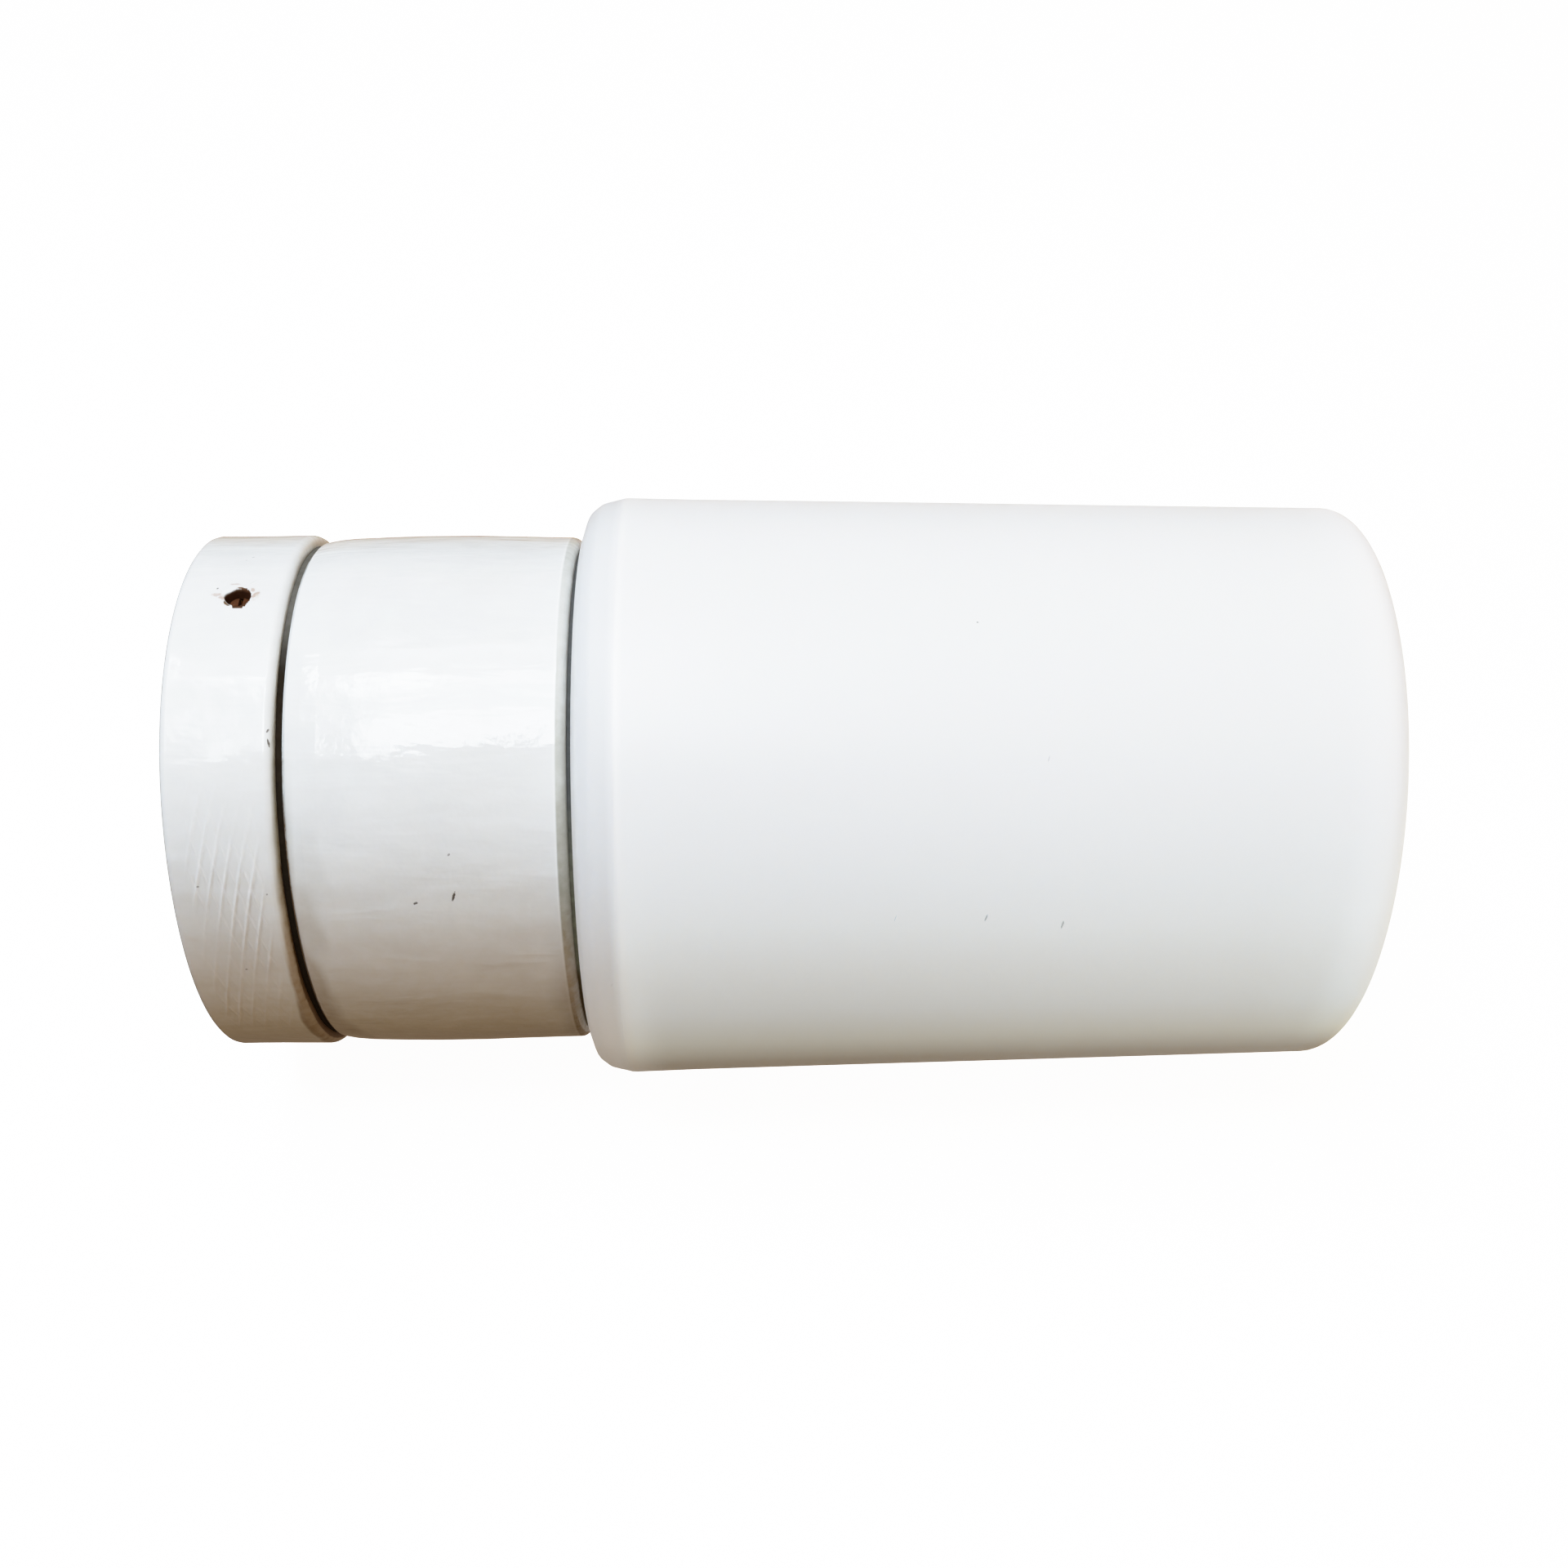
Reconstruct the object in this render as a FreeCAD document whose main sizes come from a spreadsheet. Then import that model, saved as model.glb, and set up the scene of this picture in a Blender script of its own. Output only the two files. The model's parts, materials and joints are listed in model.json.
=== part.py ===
import FreeCAD, Part
import math
import os
import Sketcher

# Bathroom wall light: a glazed porcelain mounting ring, a porcelain lamp body held
# in it by two radial set screws, and an opal glass cylinder that screws into the
# body. +X is the lamp axis pointing out from the wall (the front), +Z is up, and the
# origin is the centre of the mounting ring's back face. Lengths are in millimetres.

Vector = FreeCAD.Vector
OUT = "parts"
os.makedirs(OUT, exist_ok=True)
doc = FreeCAD.newDocument("PorcelainLight")

# ---------------------------------------------------------------- driving sizes
# A start, end, rear, face or station is a place along X. Round sizes are radii.
SIZES = dict(
    # mounting ring
    ring_radius=50.4, ring_depth=20.0, ring_bore=43.6, ring_floor=7.0, ring_port=10.0,
    slot_spacing=60.0, slot_width=5.2, slot_span=10.0,
    setscrew_station=11.3, setscrew_hole=2.25, insert_seat=3.3, insert_seat_depth=47.9,
    # set screws and their inserts, lows and highs measured out from the lamp axis
    insert_radius=3.28, insert_bore=2.05, insert_low=43.9, insert_high=47.7,
    setscrew_radius=2.0, setscrew_tip=43.25, setscrew_top=48.4,
    setscrew_slot=0.8, setscrew_slot_depth=1.3,
    # cable grommet and base seal
    grommet_bore=4.0, grommet_body=9.95, grommet_flange=12.5, grommet_end=9.0,
    seal_inner=44.6, seal_outer=48.2, seal_thick=1.1,
    # lamp body
    spigot_radius=43.2, spigot_start=8.0, rear_cavity=37.5,
    body_floor_rear=23.5, body_floor_front=30.5, front_cavity=42.9, body_end=70.9,
    body_rear_radius=48.95, body_mid_radius=49.9, body_front_radius=49.35, body_bevel=0.7,
    body_port=10.8, holder_hole=2.3, holder_pitch=50.0, block_hole=1.9, block_offset=24.0,
    glass_thread_pitch=6.0, body_ridge_crest=41.2, body_ridge_start=60.0, body_ridge_run=8.0,
    # shade gasket and shade
    gasket_thick=1.0, gasket_inner=43.3, gasket_outer=47.3,
    neck_inner=37.4, neck_outer=40.6, neck_start=58.0, shade_face=71.9,
    shade_max_radius=56.45, shade_max_station=80.0, shade_end=215.9, shade_end_radius=52.86,
    shade_wall=3.1, shade_end_round=4.5,
    shade_ridge_crest=42.25, shade_ridge_start=63.0, shade_ridge_run=6.0,
    # lampholder
    holder_radius=19.0, holder_end=66.0, holder_recess=12.0, holder_recess_end=36.0,
    holder_floor=40.0, holder_cavity=15.0,
    ear_half_span=29.0, ear_half_width=6.0, ear_thick=8.0, ear_hole=2.2,
    shell_outer=14.8, shell_inner=13.6, shell_start=40.05, shell_end=66.0,
    shell_lip=8.0, shell_lip_thick=0.8, shell_crest=12.45, lamp_pitch=3.629,
    shell_ridge_start=46.0, shell_ridge_run=16.0,
    bush_bore=1.65, bush_outer=2.6, bush_proud=0.5, terminal_rear=34.9, terminal_thick=1.0,
    rivet_hole=1.05, rivet_out=8.6, rivet_up=3.4,
    plunger_stem=1.6, plunger_head=3.6, plunger_face=45.0, plunger_head_thick=1.3,
    spring_wire=0.22, spring_mean=2.5,
    terminal_screw_shank=1.45, terminal_screw_head=2.7, terminal_screw_pos=7.0,
    terminal_screw_hole=1.5, terminal_screw_rear=31.9, terminal_screw_tip=38.2,
    neutral_screw_drop=2.0,
    # lampholder fixings
    fix_screw_shank=2.0, fix_screw_head=3.9, fix_screw_head_high=2.4, fix_screw_tail=18.2,
    washer_outer=4.5, washer_thick=0.8, nut_flats=7.0, nut_thick=3.2, nut_bore=2.03,
    # terminal block
    block_width=22.0, block_tall=16.0, block_rear=11.2, block_pole=5.5,
    block_pole_station=18.6, block_tube=2.6, block_tube_bore=1.5, block_tube_inset=1.5,
    grub_radius=1.45, grub_gap=4.0, grub_well=1.9, grub_rear=13.2, grub_tip=17.4,
    block_screw_shank=1.7, block_screw_head=3.0, block_screw_seat=4.0,
    block_screw_rear=12.6, block_screw_tip=34.8, block_nut_flats=5.5, block_nut_thick=2.6,
    # wiring
    core_radius=0.65, sleeve_radius=1.35, sleeve_bore=0.7,
    # lamp
    cap_wall_outer=12.0, cap_wall_inner=11.3, cap_crest=13.05, cap_start=49.0, cap_end=70.0,
    cap_rim=0.5, cap_ridge_start=51.4445, cap_ridge_run=13.0,
    lamp_tip=45.0, insulator_rear=46.3, insulator_end=51.5, insulator_bore=1.0,
    bulb_radius=30.0, bulb_centre=120.0, bulb_neck=11.1, bulb_neck_start=52.0, bulb_wall=0.8,
    stem_outer=3.4, stem_inner=2.4, stem_end=95.0, lead_radius=0.3, filament_radius=0.25,
)
sheet = doc.addObject("Spreadsheet::Sheet", "Params")
for row, (alias, number) in enumerate(SIZES.items(), start=1):
    sheet.set("A%d" % row, alias)
    sheet.set("B%d" % row, repr(number))
    sheet.setAlias("B%d" % row, alias)
doc.recompute()


# ---------------------------------------------------------------- bound quantities
class Bound:
    """A number that remembers the sheet expression it came from."""

    def __init__(self, value, text):
        self.value = float(value)
        self.text = text

    def _join(self, other, sign, operate):
        if not isinstance(other, Bound):
            text = repr(float(other))
            other = Bound(other, "(%s)" % text if other < 0 else text)
        return Bound(operate(self.value, other.value),
                     "(%s %s %s)" % (self.text, sign, other.text))

    def __add__(self, other):
        return self._join(other, "+", lambda a, b: a + b)

    def __sub__(self, other):
        return self._join(other, "-", lambda a, b: a - b)

    def __mul__(self, other):
        return self._join(other, "*", lambda a, b: a * b)

    def __truediv__(self, other):
        return self._join(other, "/", lambda a, b: a / b)

    def __neg__(self):
        return Bound(-self.value, "(0 - %s)" % self.text)


class Sizes:
    """Gives each driving size as a Bound: size.ring_radius and so on."""

    def __getattr__(self, name):
        return Bound(SIZES[name], "Params." + name)


size = Sizes()


def num(quantity):
    return quantity.value if isinstance(quantity, Bound) else float(quantity)


def bind(obj, prop, quantity):
    if isinstance(quantity, Bound):
        obj.setExpression(prop, quantity.text)


def assign(obj, prop, quantity):
    setattr(obj, prop, num(quantity))
    bind(obj, prop, quantity)


# ---------------------------------------------------------------- sketch helpers
def new_body(label):
    body = doc.addObject("PartDesign::Body", label)
    body.Label = label
    return body


def new_sketch(body, name, role="YZ_Plane", lift=None):
    """A sketch on an origin plane, lifted along the plane's normal. On YZ_Plane
    the sketch's own axes are Y and Z, and the normal is +X."""
    sketch = body.newObject("Sketcher::SketchObject", name)
    plane = [item for item in body.Origin.OriginFeatures if item.Role == role][0]
    sketch.AttachmentSupport = [(plane, "")]
    sketch.MapMode = "FlatFace"
    if lift is not None:
        sketch.AttachmentOffset = FreeCAD.Placement(Vector(0, 0, num(lift)), FreeCAD.Rotation())
        bind(sketch, "AttachmentOffset.Base.z", lift)
    return sketch


def dimension(sketch, kind, targets, quantity):
    index = sketch.addConstraint(Sketcher.Constraint(kind, *targets, num(quantity)))
    bind(sketch, "Constraints[%d]" % index, quantity)


def pin(sketch, geometry, point, across, up):
    """Fix a point by its distances from the origin, or on an axis where one is zero."""
    for quantity, kind, axis in ((across, "DistanceX", -2), (up, "DistanceY", -1)):
        if abs(num(quantity)) < 1e-9:
            sketch.addConstraint(Sketcher.Constraint("PointOnObject", geometry, point, axis))
        else:
            dimension(sketch, kind, (-1, 1, geometry, point), quantity)


def add_arc(sketch, start, middle, end):
    """Add an arc; return its index, its point numbers at start and end, its radius."""
    curve = Part.Arc(start, middle, end).toShape().Curve
    centre = curve.Center
    turn = ((middle.x - start.x) * (end.y - middle.y)
            - (middle.y - start.y) * (end.x - middle.x))
    # a sketch arc runs anticlockwise, so its first end may be the second corner
    low, high = (start, end) if turn > 0 else (end, start)
    first = math.atan2(low.y - centre.y, low.x - centre.x)
    last = math.atan2(high.y - centre.y, high.x - centre.x)
    if last <= first:
        last += 2 * math.pi
    circle = Part.Circle(centre, Vector(0, 0, 1), curve.Radius)
    index = sketch.addGeometry(Part.ArcOfCircle(circle, first, last))
    # the radius of a semicircle is left free
    semicircle = abs((end - start).Length - 2 * curve.Radius) < 1e-6
    radius = None if semicircle else curve.Radius
    return (index, 1, 2, radius) if turn > 0 else (index, 2, 1, radius)


def loop(sketch, items):
    """Closed loop. items holds corner points (a, b); a ("via", a, b) between two
    corners makes that stretch a circular arc through the via point."""
    corners = []
    vias = {}
    for item in items:
        if item[0] == "via":
            vias[len(corners) - 1] = Vector(num(item[1]), num(item[2]), 0)
        else:
            corners.append(item)
    points = [Vector(num(across), num(up), 0) for across, up in corners]
    sides = []
    for i, start in enumerate(points):
        end = points[(i + 1) % len(points)]
        if i in vias:
            sides.append(add_arc(sketch, start, vias[i], end))
        else:
            sides.append((sketch.addGeometry(Part.LineSegment(start, end)), 1, 2, None))
    for side, following in zip(sides, sides[1:] + sides[:1]):
        sketch.addConstraint(Sketcher.Constraint(
            "Coincident", side[0], side[2], following[0], following[1]))
    for side, (across, up) in zip(sides, corners):
        pin(sketch, side[0], side[1], across, up)
    for index, _, _, radius in sides:
        if radius is not None:
            dimension(sketch, "Radius", (index,), radius)


def box_loop(sketch, left, low, right, high):
    loop(sketch, [(left, low), (right, low), (right, high), (left, high)])


def add_circle(sketch, across, up, radius):
    centre = Vector(num(across), num(up), 0)
    index = sketch.addGeometry(Part.Circle(centre, Vector(0, 0, 1), num(radius)))
    dimension(sketch, "Radius", (index,), radius)
    pin(sketch, index, 3, across, up)


# ---------------------------------------------------------------- solid helpers
def turned(body, items):
    """Revolve a profile of (station, radius) points about the X axis."""
    sketch = new_sketch(body, "TurningProfile", "XY_Plane")
    loop(sketch, items)
    doc.recompute()
    turning = body.newObject("PartDesign::Revolution", "Turning")
    turning.Profile = sketch
    turning.ReferenceAxis = (sketch, ["H_Axis"])
    turning.Angle = 360
    doc.recompute()


def padded(body, sketch, length, name):
    doc.recompute()
    pad = body.newObject("PartDesign::Pad", name)
    pad.Profile = sketch
    assign(pad, "Length", length)
    doc.recompute()


def pocketed(body, sketch, depth, name, side="forward"):
    """Cut along the sketch's normal ("forward"), against it ("backward"), or half
    the depth each way ("both")."""
    doc.recompute()
    before = body.Shape.Volume
    pocket = body.newObject("PartDesign::Pocket", name)
    pocket.Profile = sketch
    assign(pocket, "Length", depth)
    if side == "both":
        pocket.SideType = "Symmetric"
    pocket.Reversed = side == "forward"
    doc.recompute()
    if not body.Shape.Volume < before - 1e-6:
        raise RuntimeError("%s in %s removes nothing" % (name, body.Label))


def bored(body, sketch_name, circles, depth, name, role="YZ_Plane", lift=None, side="forward"):
    """Cut round holes; circles holds (across, up, radius) in the sketch's plane."""
    sketch = new_sketch(body, sketch_name, role, lift)
    for across, up, radius in circles:
        add_circle(sketch, across, up, radius)
    pocketed(body, sketch, depth, name, side)


def driver_slot(body, station, half_length, half_width, depth, side="forward"):
    """A screwdriver slot along Y, centred on the X axis, cut in from the station."""
    sketch = new_sketch(body, "SlotSketch", lift=station)
    box_loop(sketch, -half_length, -half_width, half_length, half_width)
    pocketed(body, sketch, depth, "DriverSlot", side)


def rounded(body, name, amount, picks, chamfer=False):
    """Fillet or chamfer the circular edges found at (station, radius) about X."""
    doc.recompute()
    base = body.Tip
    found = []
    for i, edge in enumerate(base.Shape.Edges, start=1):
        if edge.Degenerated:
            continue
        curve = edge.Curve
        if not isinstance(curve, Part.Circle) or abs(abs(curve.Axis.x) - 1) > 1e-6:
            continue
        if math.hypot(curve.Center.y, curve.Center.z) > 1e-6:
            continue
        for station, radius in picks:
            if (abs(curve.Center.x - num(station)) < 1e-4
                    and abs(curve.Radius - num(radius)) < 1e-4):
                found.append("Edge%d" % i)
    if len(found) < len(picks):
        raise RuntimeError("%s in %s found %d of %d edges"
                           % (name, body.Label, len(found), len(picks)))
    kind, prop = ("Chamfer", "Size") if chamfer else ("Fillet", "Radius")
    dressing = body.newObject("PartDesign::" + kind, name)
    dressing.Base = (base, found)
    assign(dressing, prop, amount)
    doc.recompute()


def place(body, position, rotation=FreeCAD.Rotation()):
    body.Placement = FreeCAD.Placement(Vector(*[num(part) for part in position]), rotation)
    for part, letter in zip(position, "xyz"):
        bind(body, "Placement.Base." + letter, part)


def place_radial(body, sign):
    """Stand a part turned about X in the ring's upper (1) or lower (-1) radial hole."""
    place(body, (size.setscrew_station, 0, 0), FreeCAD.Rotation(Vector(0, 1, 0), -90 * sign))


def flat_ring(label, start, thick, inner, outer):
    """A plain washer shape about the X axis."""
    body = new_body(label)
    turned(body, [(start, inner), (start, outer), (start + thick, outer), (start + thick, inner)])
    return body


def hex_nut(label, station, flats, thick, bore):
    """A nut about the X axis with its back face at the station."""
    body = new_body(label)
    sketch = new_sketch(body, "HexSketch", lift=station)
    corner = flats / math.sqrt(3)
    angles = [math.radians(60 * k) for k in range(6)]
    loop(sketch, [(corner * math.cos(angle), corner * math.sin(angle)) for angle in angles])
    padded(body, sketch, thick, "Hex")
    bored(body, "BoreSketch", [(0, 0, bore)], thick + 1, "Bore", lift=station)
    return body


def feature(label, shape):
    obj = doc.addObject("Part::Feature", label)
    obj.Label = label
    obj.Shape = shape
    return obj


def lay_along_x(obj, start):
    """Turn a shape built up Z to run along X from the start station."""
    obj.Placement = FreeCAD.Placement(Vector(start, 0, 0),
                                      FreeCAD.Rotation(Vector(0, 1, 0), 90))
    return obj


def swept(spine, section, frenet=False):
    maker = Part.BRepOffsetAPI.MakePipeShell(spine)
    if frenet:
        maker.setFrenetMode(True)
    maker.add(section)
    maker.build()
    maker.makeSolid()
    return maker.shape()


def start_circle(edge, radius):
    """A circle square to the edge at its start."""
    start = edge.valueAt(edge.FirstParameter)
    tangent = edge.tangentAt(edge.FirstParameter)
    return Part.Wire([Part.makeCircle(num(radius), start, tangent)])


def ridge(label, root, crest, start, run, pitch, root_width, crest_width, embed=0.4):
    """A single-start right-hand helical ridge about the X axis, as a closed solid.
    Its foot is sunk by embed into the wall it stands on."""
    root, crest, start, run, pitch = (num(part) for part in (root, crest, start, run, pitch))
    foot = root - embed if crest > root else root + embed
    helix = Part.makeHelix(pitch, run, root)
    outline = [(foot, -root_width / 2.0), (crest, -crest_width / 2.0),
               (crest, crest_width / 2.0), (foot, root_width / 2.0)]
    section = Part.makePolygon([Vector(radius, 0, along) for radius, along in
                                outline + outline[:1]])
    return lay_along_x(feature(label, swept(Part.Wire(helix.Edges), section, frenet=True)), start)


def fused(label, base, tool):
    fuse = doc.addObject("Part::Fuse", label)
    fuse.Label = label
    fuse.Base = base
    fuse.Tool = tool
    doc.recompute()
    return fuse


def grouped(label, members):
    group = doc.addObject("Part::Compound", label)
    group.Label = label
    group.Links = members
    doc.recompute()
    return group


def rod(label, path, radius, bore=None, first=0, last=-1):
    """A wire or sleeve: a circle swept along a smooth curve through the path's
    points, from the point numbered first to the one numbered last."""
    points = [Vector(*[num(part) for part in point]) for point in path]
    curve = Part.BSplineCurve()
    curve.interpolate(points)
    spine = Part.Wire([curve.toShape(curve.parameter(points[first]),
                                     curve.parameter(points[last]))])
    solid = swept(spine, start_circle(spine.Edges[0], radius))
    if bore is not None:
        solid = solid.cut(swept(spine, start_circle(spine.Edges[0], bore)))
    return feature(label, solid)


# ---------------------------------------------------------------- mounting ring
def mounting_ring():
    """A shallow porcelain dish, open to the front: a wall and a floor, with a port for
    the cable, two slots for wall screws and two radial holes for set screws."""
    body = new_body("mounting_ring")
    turned(body, [(0, size.ring_port), (0, size.ring_radius),
                  (size.ring_depth, size.ring_radius), (size.ring_depth, size.ring_bore),
                  (size.ring_floor, size.ring_bore), (size.ring_floor, size.ring_port)])
    rounded(body, "FrontRound", 1.5, [(size.ring_depth, size.ring_radius)])
    rounded(body, "BackRound", 1.0, [(0, size.ring_radius)])
    rounded(body, "MouthRound", 0.8, [(size.ring_depth, size.ring_bore)])
    rounded(body, "FloorRound", 0.9, [(size.ring_floor, size.ring_bore)])

    sketch = new_sketch(body, "SlotSketch")
    half_flat = (size.slot_span - size.slot_width) / 2
    end_radius = size.slot_width / 2
    for sign in (1, -1):
        middle = size.slot_spacing / 2 * sign
        left, right = middle - half_flat, middle + half_flat
        loop(sketch, [(left, -end_radius), (right, -end_radius), ("via", right + end_radius, 0),
                      (right, end_radius), (left, end_radius), ("via", left - end_radius, 0)])
    pocketed(body, sketch, size.ring_floor + 1, "WallScrewSlots")

    bored(body, "SetScrewSketch", [(size.setscrew_station, 0, size.setscrew_hole)],
          size.ring_radius * 2 + 4, "SetScrewHoles", role="XY_Plane", side="both")
    bored(body, "InsertSeatSketch", [(size.setscrew_station, 0, size.insert_seat)],
          size.insert_seat_depth * 2, "InsertSeats", role="XY_Plane", side="both")
    return body


def set_screw_inserts():
    """Brass threaded inserts, one in each radial hole."""
    inserts = []
    for sign, tag in ((1, "top"), (-1, "bottom")):
        body = new_body("insert_" + tag)
        turned(body, [(size.insert_low, size.insert_bore), (size.insert_high, size.insert_bore),
                      (size.insert_high, size.insert_radius),
                      (size.insert_low, size.insert_radius)])
        place_radial(body, sign)
        inserts.append(body)
    return grouped("set_screw_inserts", inserts)


def set_screw(tag, sign):
    """Slotted flat-tip screw that clamps the lamp body's spigot."""
    body = new_body("set_screw_" + tag)
    turned(body, [(size.setscrew_tip, 0), (size.setscrew_top, 0),
                  (size.setscrew_top, size.setscrew_radius),
                  (size.setscrew_tip, size.setscrew_radius)])
    rounded(body, "TipChamfer", 0.45, [(size.setscrew_tip, size.setscrew_radius)], chamfer=True)
    driver_slot(body, size.setscrew_top, size.setscrew_radius + 0.4, size.setscrew_slot / 2,
                size.setscrew_slot_depth, side="backward")
    place_radial(body, sign)
    return body


def cable_grommet():
    """Rubber cable grommet, flush with the ring's back face."""
    body = new_body("cable_grommet")
    turned(body, [(0, size.grommet_bore), (size.grommet_end, size.grommet_bore),
                  (size.grommet_end, size.grommet_flange),
                  (size.ring_floor, size.grommet_flange), (size.ring_floor, size.grommet_body),
                  (0, size.grommet_body)])
    rounded(body, "FlangeRound", 0.6, [(size.grommet_end, size.grommet_flange)])
    return body


# ---------------------------------------------------------------- lamp body
def lamp_body():
    """Porcelain barrel with a plain spigot behind, a floor across the middle, a wiring
    cavity at the back and a wide mouth in front with one internal helical ridge."""
    rear = size.ring_depth + size.seal_thick
    bevel = size.body_bevel
    body = new_body("lamp_body_turned")
    turned(body, [
        (size.spigot_start, size.rear_cavity), (size.body_floor_rear, size.rear_cavity),
        (size.body_floor_rear, size.body_port), (size.body_floor_front, size.body_port),
        (size.body_floor_front, size.front_cavity), (size.body_end, size.front_cavity),
        # outside, from front to back: a long slight bulge, then a short curve inwards
        (size.body_end, size.body_front_radius), ("via", 48.0, size.body_mid_radius),
        (27.4, size.body_mid_radius - 0.3), ("via", 24.2, 49.36),
        (rear + bevel, size.body_rear_radius), (rear, size.body_rear_radius - bevel),
        (rear, size.spigot_radius), (size.spigot_start, size.spigot_radius)])
    rounded(body, "FrontRound", 1.8, [(size.body_end, size.body_front_radius)])
    rounded(body, "MouthRound", 0.9, [(size.body_end, size.front_cavity)])
    rounded(body, "SpigotRound", 0.8, [(size.spigot_start, size.spigot_radius)])
    rounded(body, "FrontCorner", 2.5, [(size.body_floor_front, size.front_cavity)])
    rounded(body, "RearCorner", 1.5, [(size.body_floor_rear, size.rear_cavity)])
    bored(body, "FloorHoleSketch",
          [(size.holder_pitch / 2, 0, size.holder_hole),
           (-(size.holder_pitch / 2), 0, size.holder_hole),
           (0, -size.block_offset, size.block_hole)],
          size.body_floor_front + 1, "FloorHoles")
    thread = ridge("lamp_body_ridge", root=size.front_cavity, crest=size.body_ridge_crest,
                   start=size.body_ridge_start, run=size.body_ridge_run,
                   pitch=size.glass_thread_pitch, root_width=2.6, crest_width=1.2)
    return fused("lamp_body", body, thread)


# ---------------------------------------------------------------- glass shade
def shade():
    """Blown opal cylinder: a threaded neck, a rounded shoulder, a short flare to the
    widest station, then a slow taper to a closed, rounded front end."""
    wall = size.shade_wall
    inner_end = size.shade_end - wall
    taper_station = 92.0
    taper_radius = size.shade_max_radius - 0.45
    body = new_body("shade_blown")
    turned(body, [
        # inside, from neck to closed end
        (size.neck_start, size.neck_inner), (size.shade_face + wall, size.neck_inner),
        (size.shade_face + wall, 49.6), (78.4, size.shade_max_radius - wall),
        (taper_station, taper_radius - wall), (inner_end - 3.0, size.shade_end_radius - wall),
        (inner_end, size.shade_end_radius - wall - 3.2), (inner_end, 0),
        # outside, from closed end back to the neck
        (size.shade_end, 0), (size.shade_end, size.shade_end_radius),
        (taper_station, taper_radius), (size.shade_max_station + 0.4, size.shade_max_radius),
        (size.shade_max_station - 0.6, size.shade_max_radius - 0.03), (75.2, 55.33),
        ("via", 73.05, 53.75), (size.shade_face, 50.9),
        (size.shade_face, size.neck_outer), (size.neck_start, size.neck_outer)])
    rounded(body, "EndRound", size.shade_end_round, [(size.shade_end, size.shade_end_radius)])
    rounded(body, "LipRound", 1.2,
            [(size.neck_start, size.neck_outer), (size.neck_start, size.neck_inner)])
    thread = ridge("shade_ridge", root=size.neck_outer, crest=size.shade_ridge_crest,
                   start=size.shade_ridge_start, run=size.shade_ridge_run,
                   pitch=size.glass_thread_pitch, root_width=3.2, crest_width=1.4)
    return fused("shade", body, thread)


# ---------------------------------------------------------------- lampholder
# (y, z, radius) of the neutral rivet's hole
RIVET_HOLE = (-size.rivet_out, size.rivet_up, size.rivet_hole)
# (y, z) of each terminal screw
TERMINAL_SCREWS = {"live": (size.terminal_screw_pos, 0),
                   "neutral": (-size.terminal_screw_pos, -size.neutral_screw_drop)}


def holder_body():
    """Porcelain E27 holder: a round housing with two fixing ears, a recess behind for
    the terminals, a web and a socket cavity in front."""
    rear = size.body_floor_front
    body = new_body("holder_body")
    turned(body, [(rear, 0), (size.holder_end, 0), (size.holder_end, size.holder_radius),
                  (rear, size.holder_radius)])
    sketch = new_sketch(body, "EarSketch", lift=rear)
    flat = size.ear_half_span - size.ear_half_width
    half_width = size.ear_half_width
    loop(sketch, [(-flat, -half_width), (flat, -half_width), ("via", size.ear_half_span, 0),
                  (flat, half_width), (-flat, half_width), ("via", -size.ear_half_span, 0)])
    padded(body, sketch, size.ear_thick, "Ears")
    bored(body, "RecessSketch", [(0, 0, size.holder_recess)], size.holder_recess_end - rear,
          "TerminalRecess", lift=rear)
    bored(body, "SocketSketch", [(0, 0, size.holder_cavity)],
          size.holder_end - size.holder_floor, "Socket", lift=size.holder_end, side="backward")
    bored(body, "WebSketch", [(0, 0, size.bush_outer + 0.05), RIVET_HOLE],
          size.holder_floor + 1, "WebHoles")
    relief_radius = 1.8
    bored(body, "ScrewReliefSketch", [(y, z, relief_radius) for y, z in TERMINAL_SCREWS.values()],
          size.holder_recess_end + 2.6, "ScrewReliefs")
    bored(body, "EarHoleSketch", [(size.holder_pitch / 2, 0, size.ear_hole),
                                  (-(size.holder_pitch / 2), 0, size.ear_hole)],
          60.0, "EarHoles")
    return body


def holder_shell():
    """Brass screw shell with an inward lip at its back end."""
    lip_front = size.shell_start + size.shell_lip_thick
    body = new_body("holder_shell_drawn")
    turned(body, [(size.shell_start, size.shell_lip), (size.shell_start, size.shell_outer),
                  (size.shell_end, size.shell_outer), (size.shell_end, size.shell_inner),
                  (lip_front, size.shell_inner), (lip_front, size.shell_lip)])
    bored(body, "RivetHoleSketch", [RIVET_HOLE], size.shell_start + 2, "RivetHole")
    thread = ridge("holder_shell_ridge", root=size.shell_inner, crest=size.shell_crest,
                   start=size.shell_ridge_start, run=size.shell_ridge_run,
                   pitch=size.lamp_pitch, root_width=1.7, crest_width=0.6, embed=0.5)
    return fused("holder_shell", body, thread)


THROUGH_TERMINALS = 45.0  # cut depth from X = 0 that passes plates and bush


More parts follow.
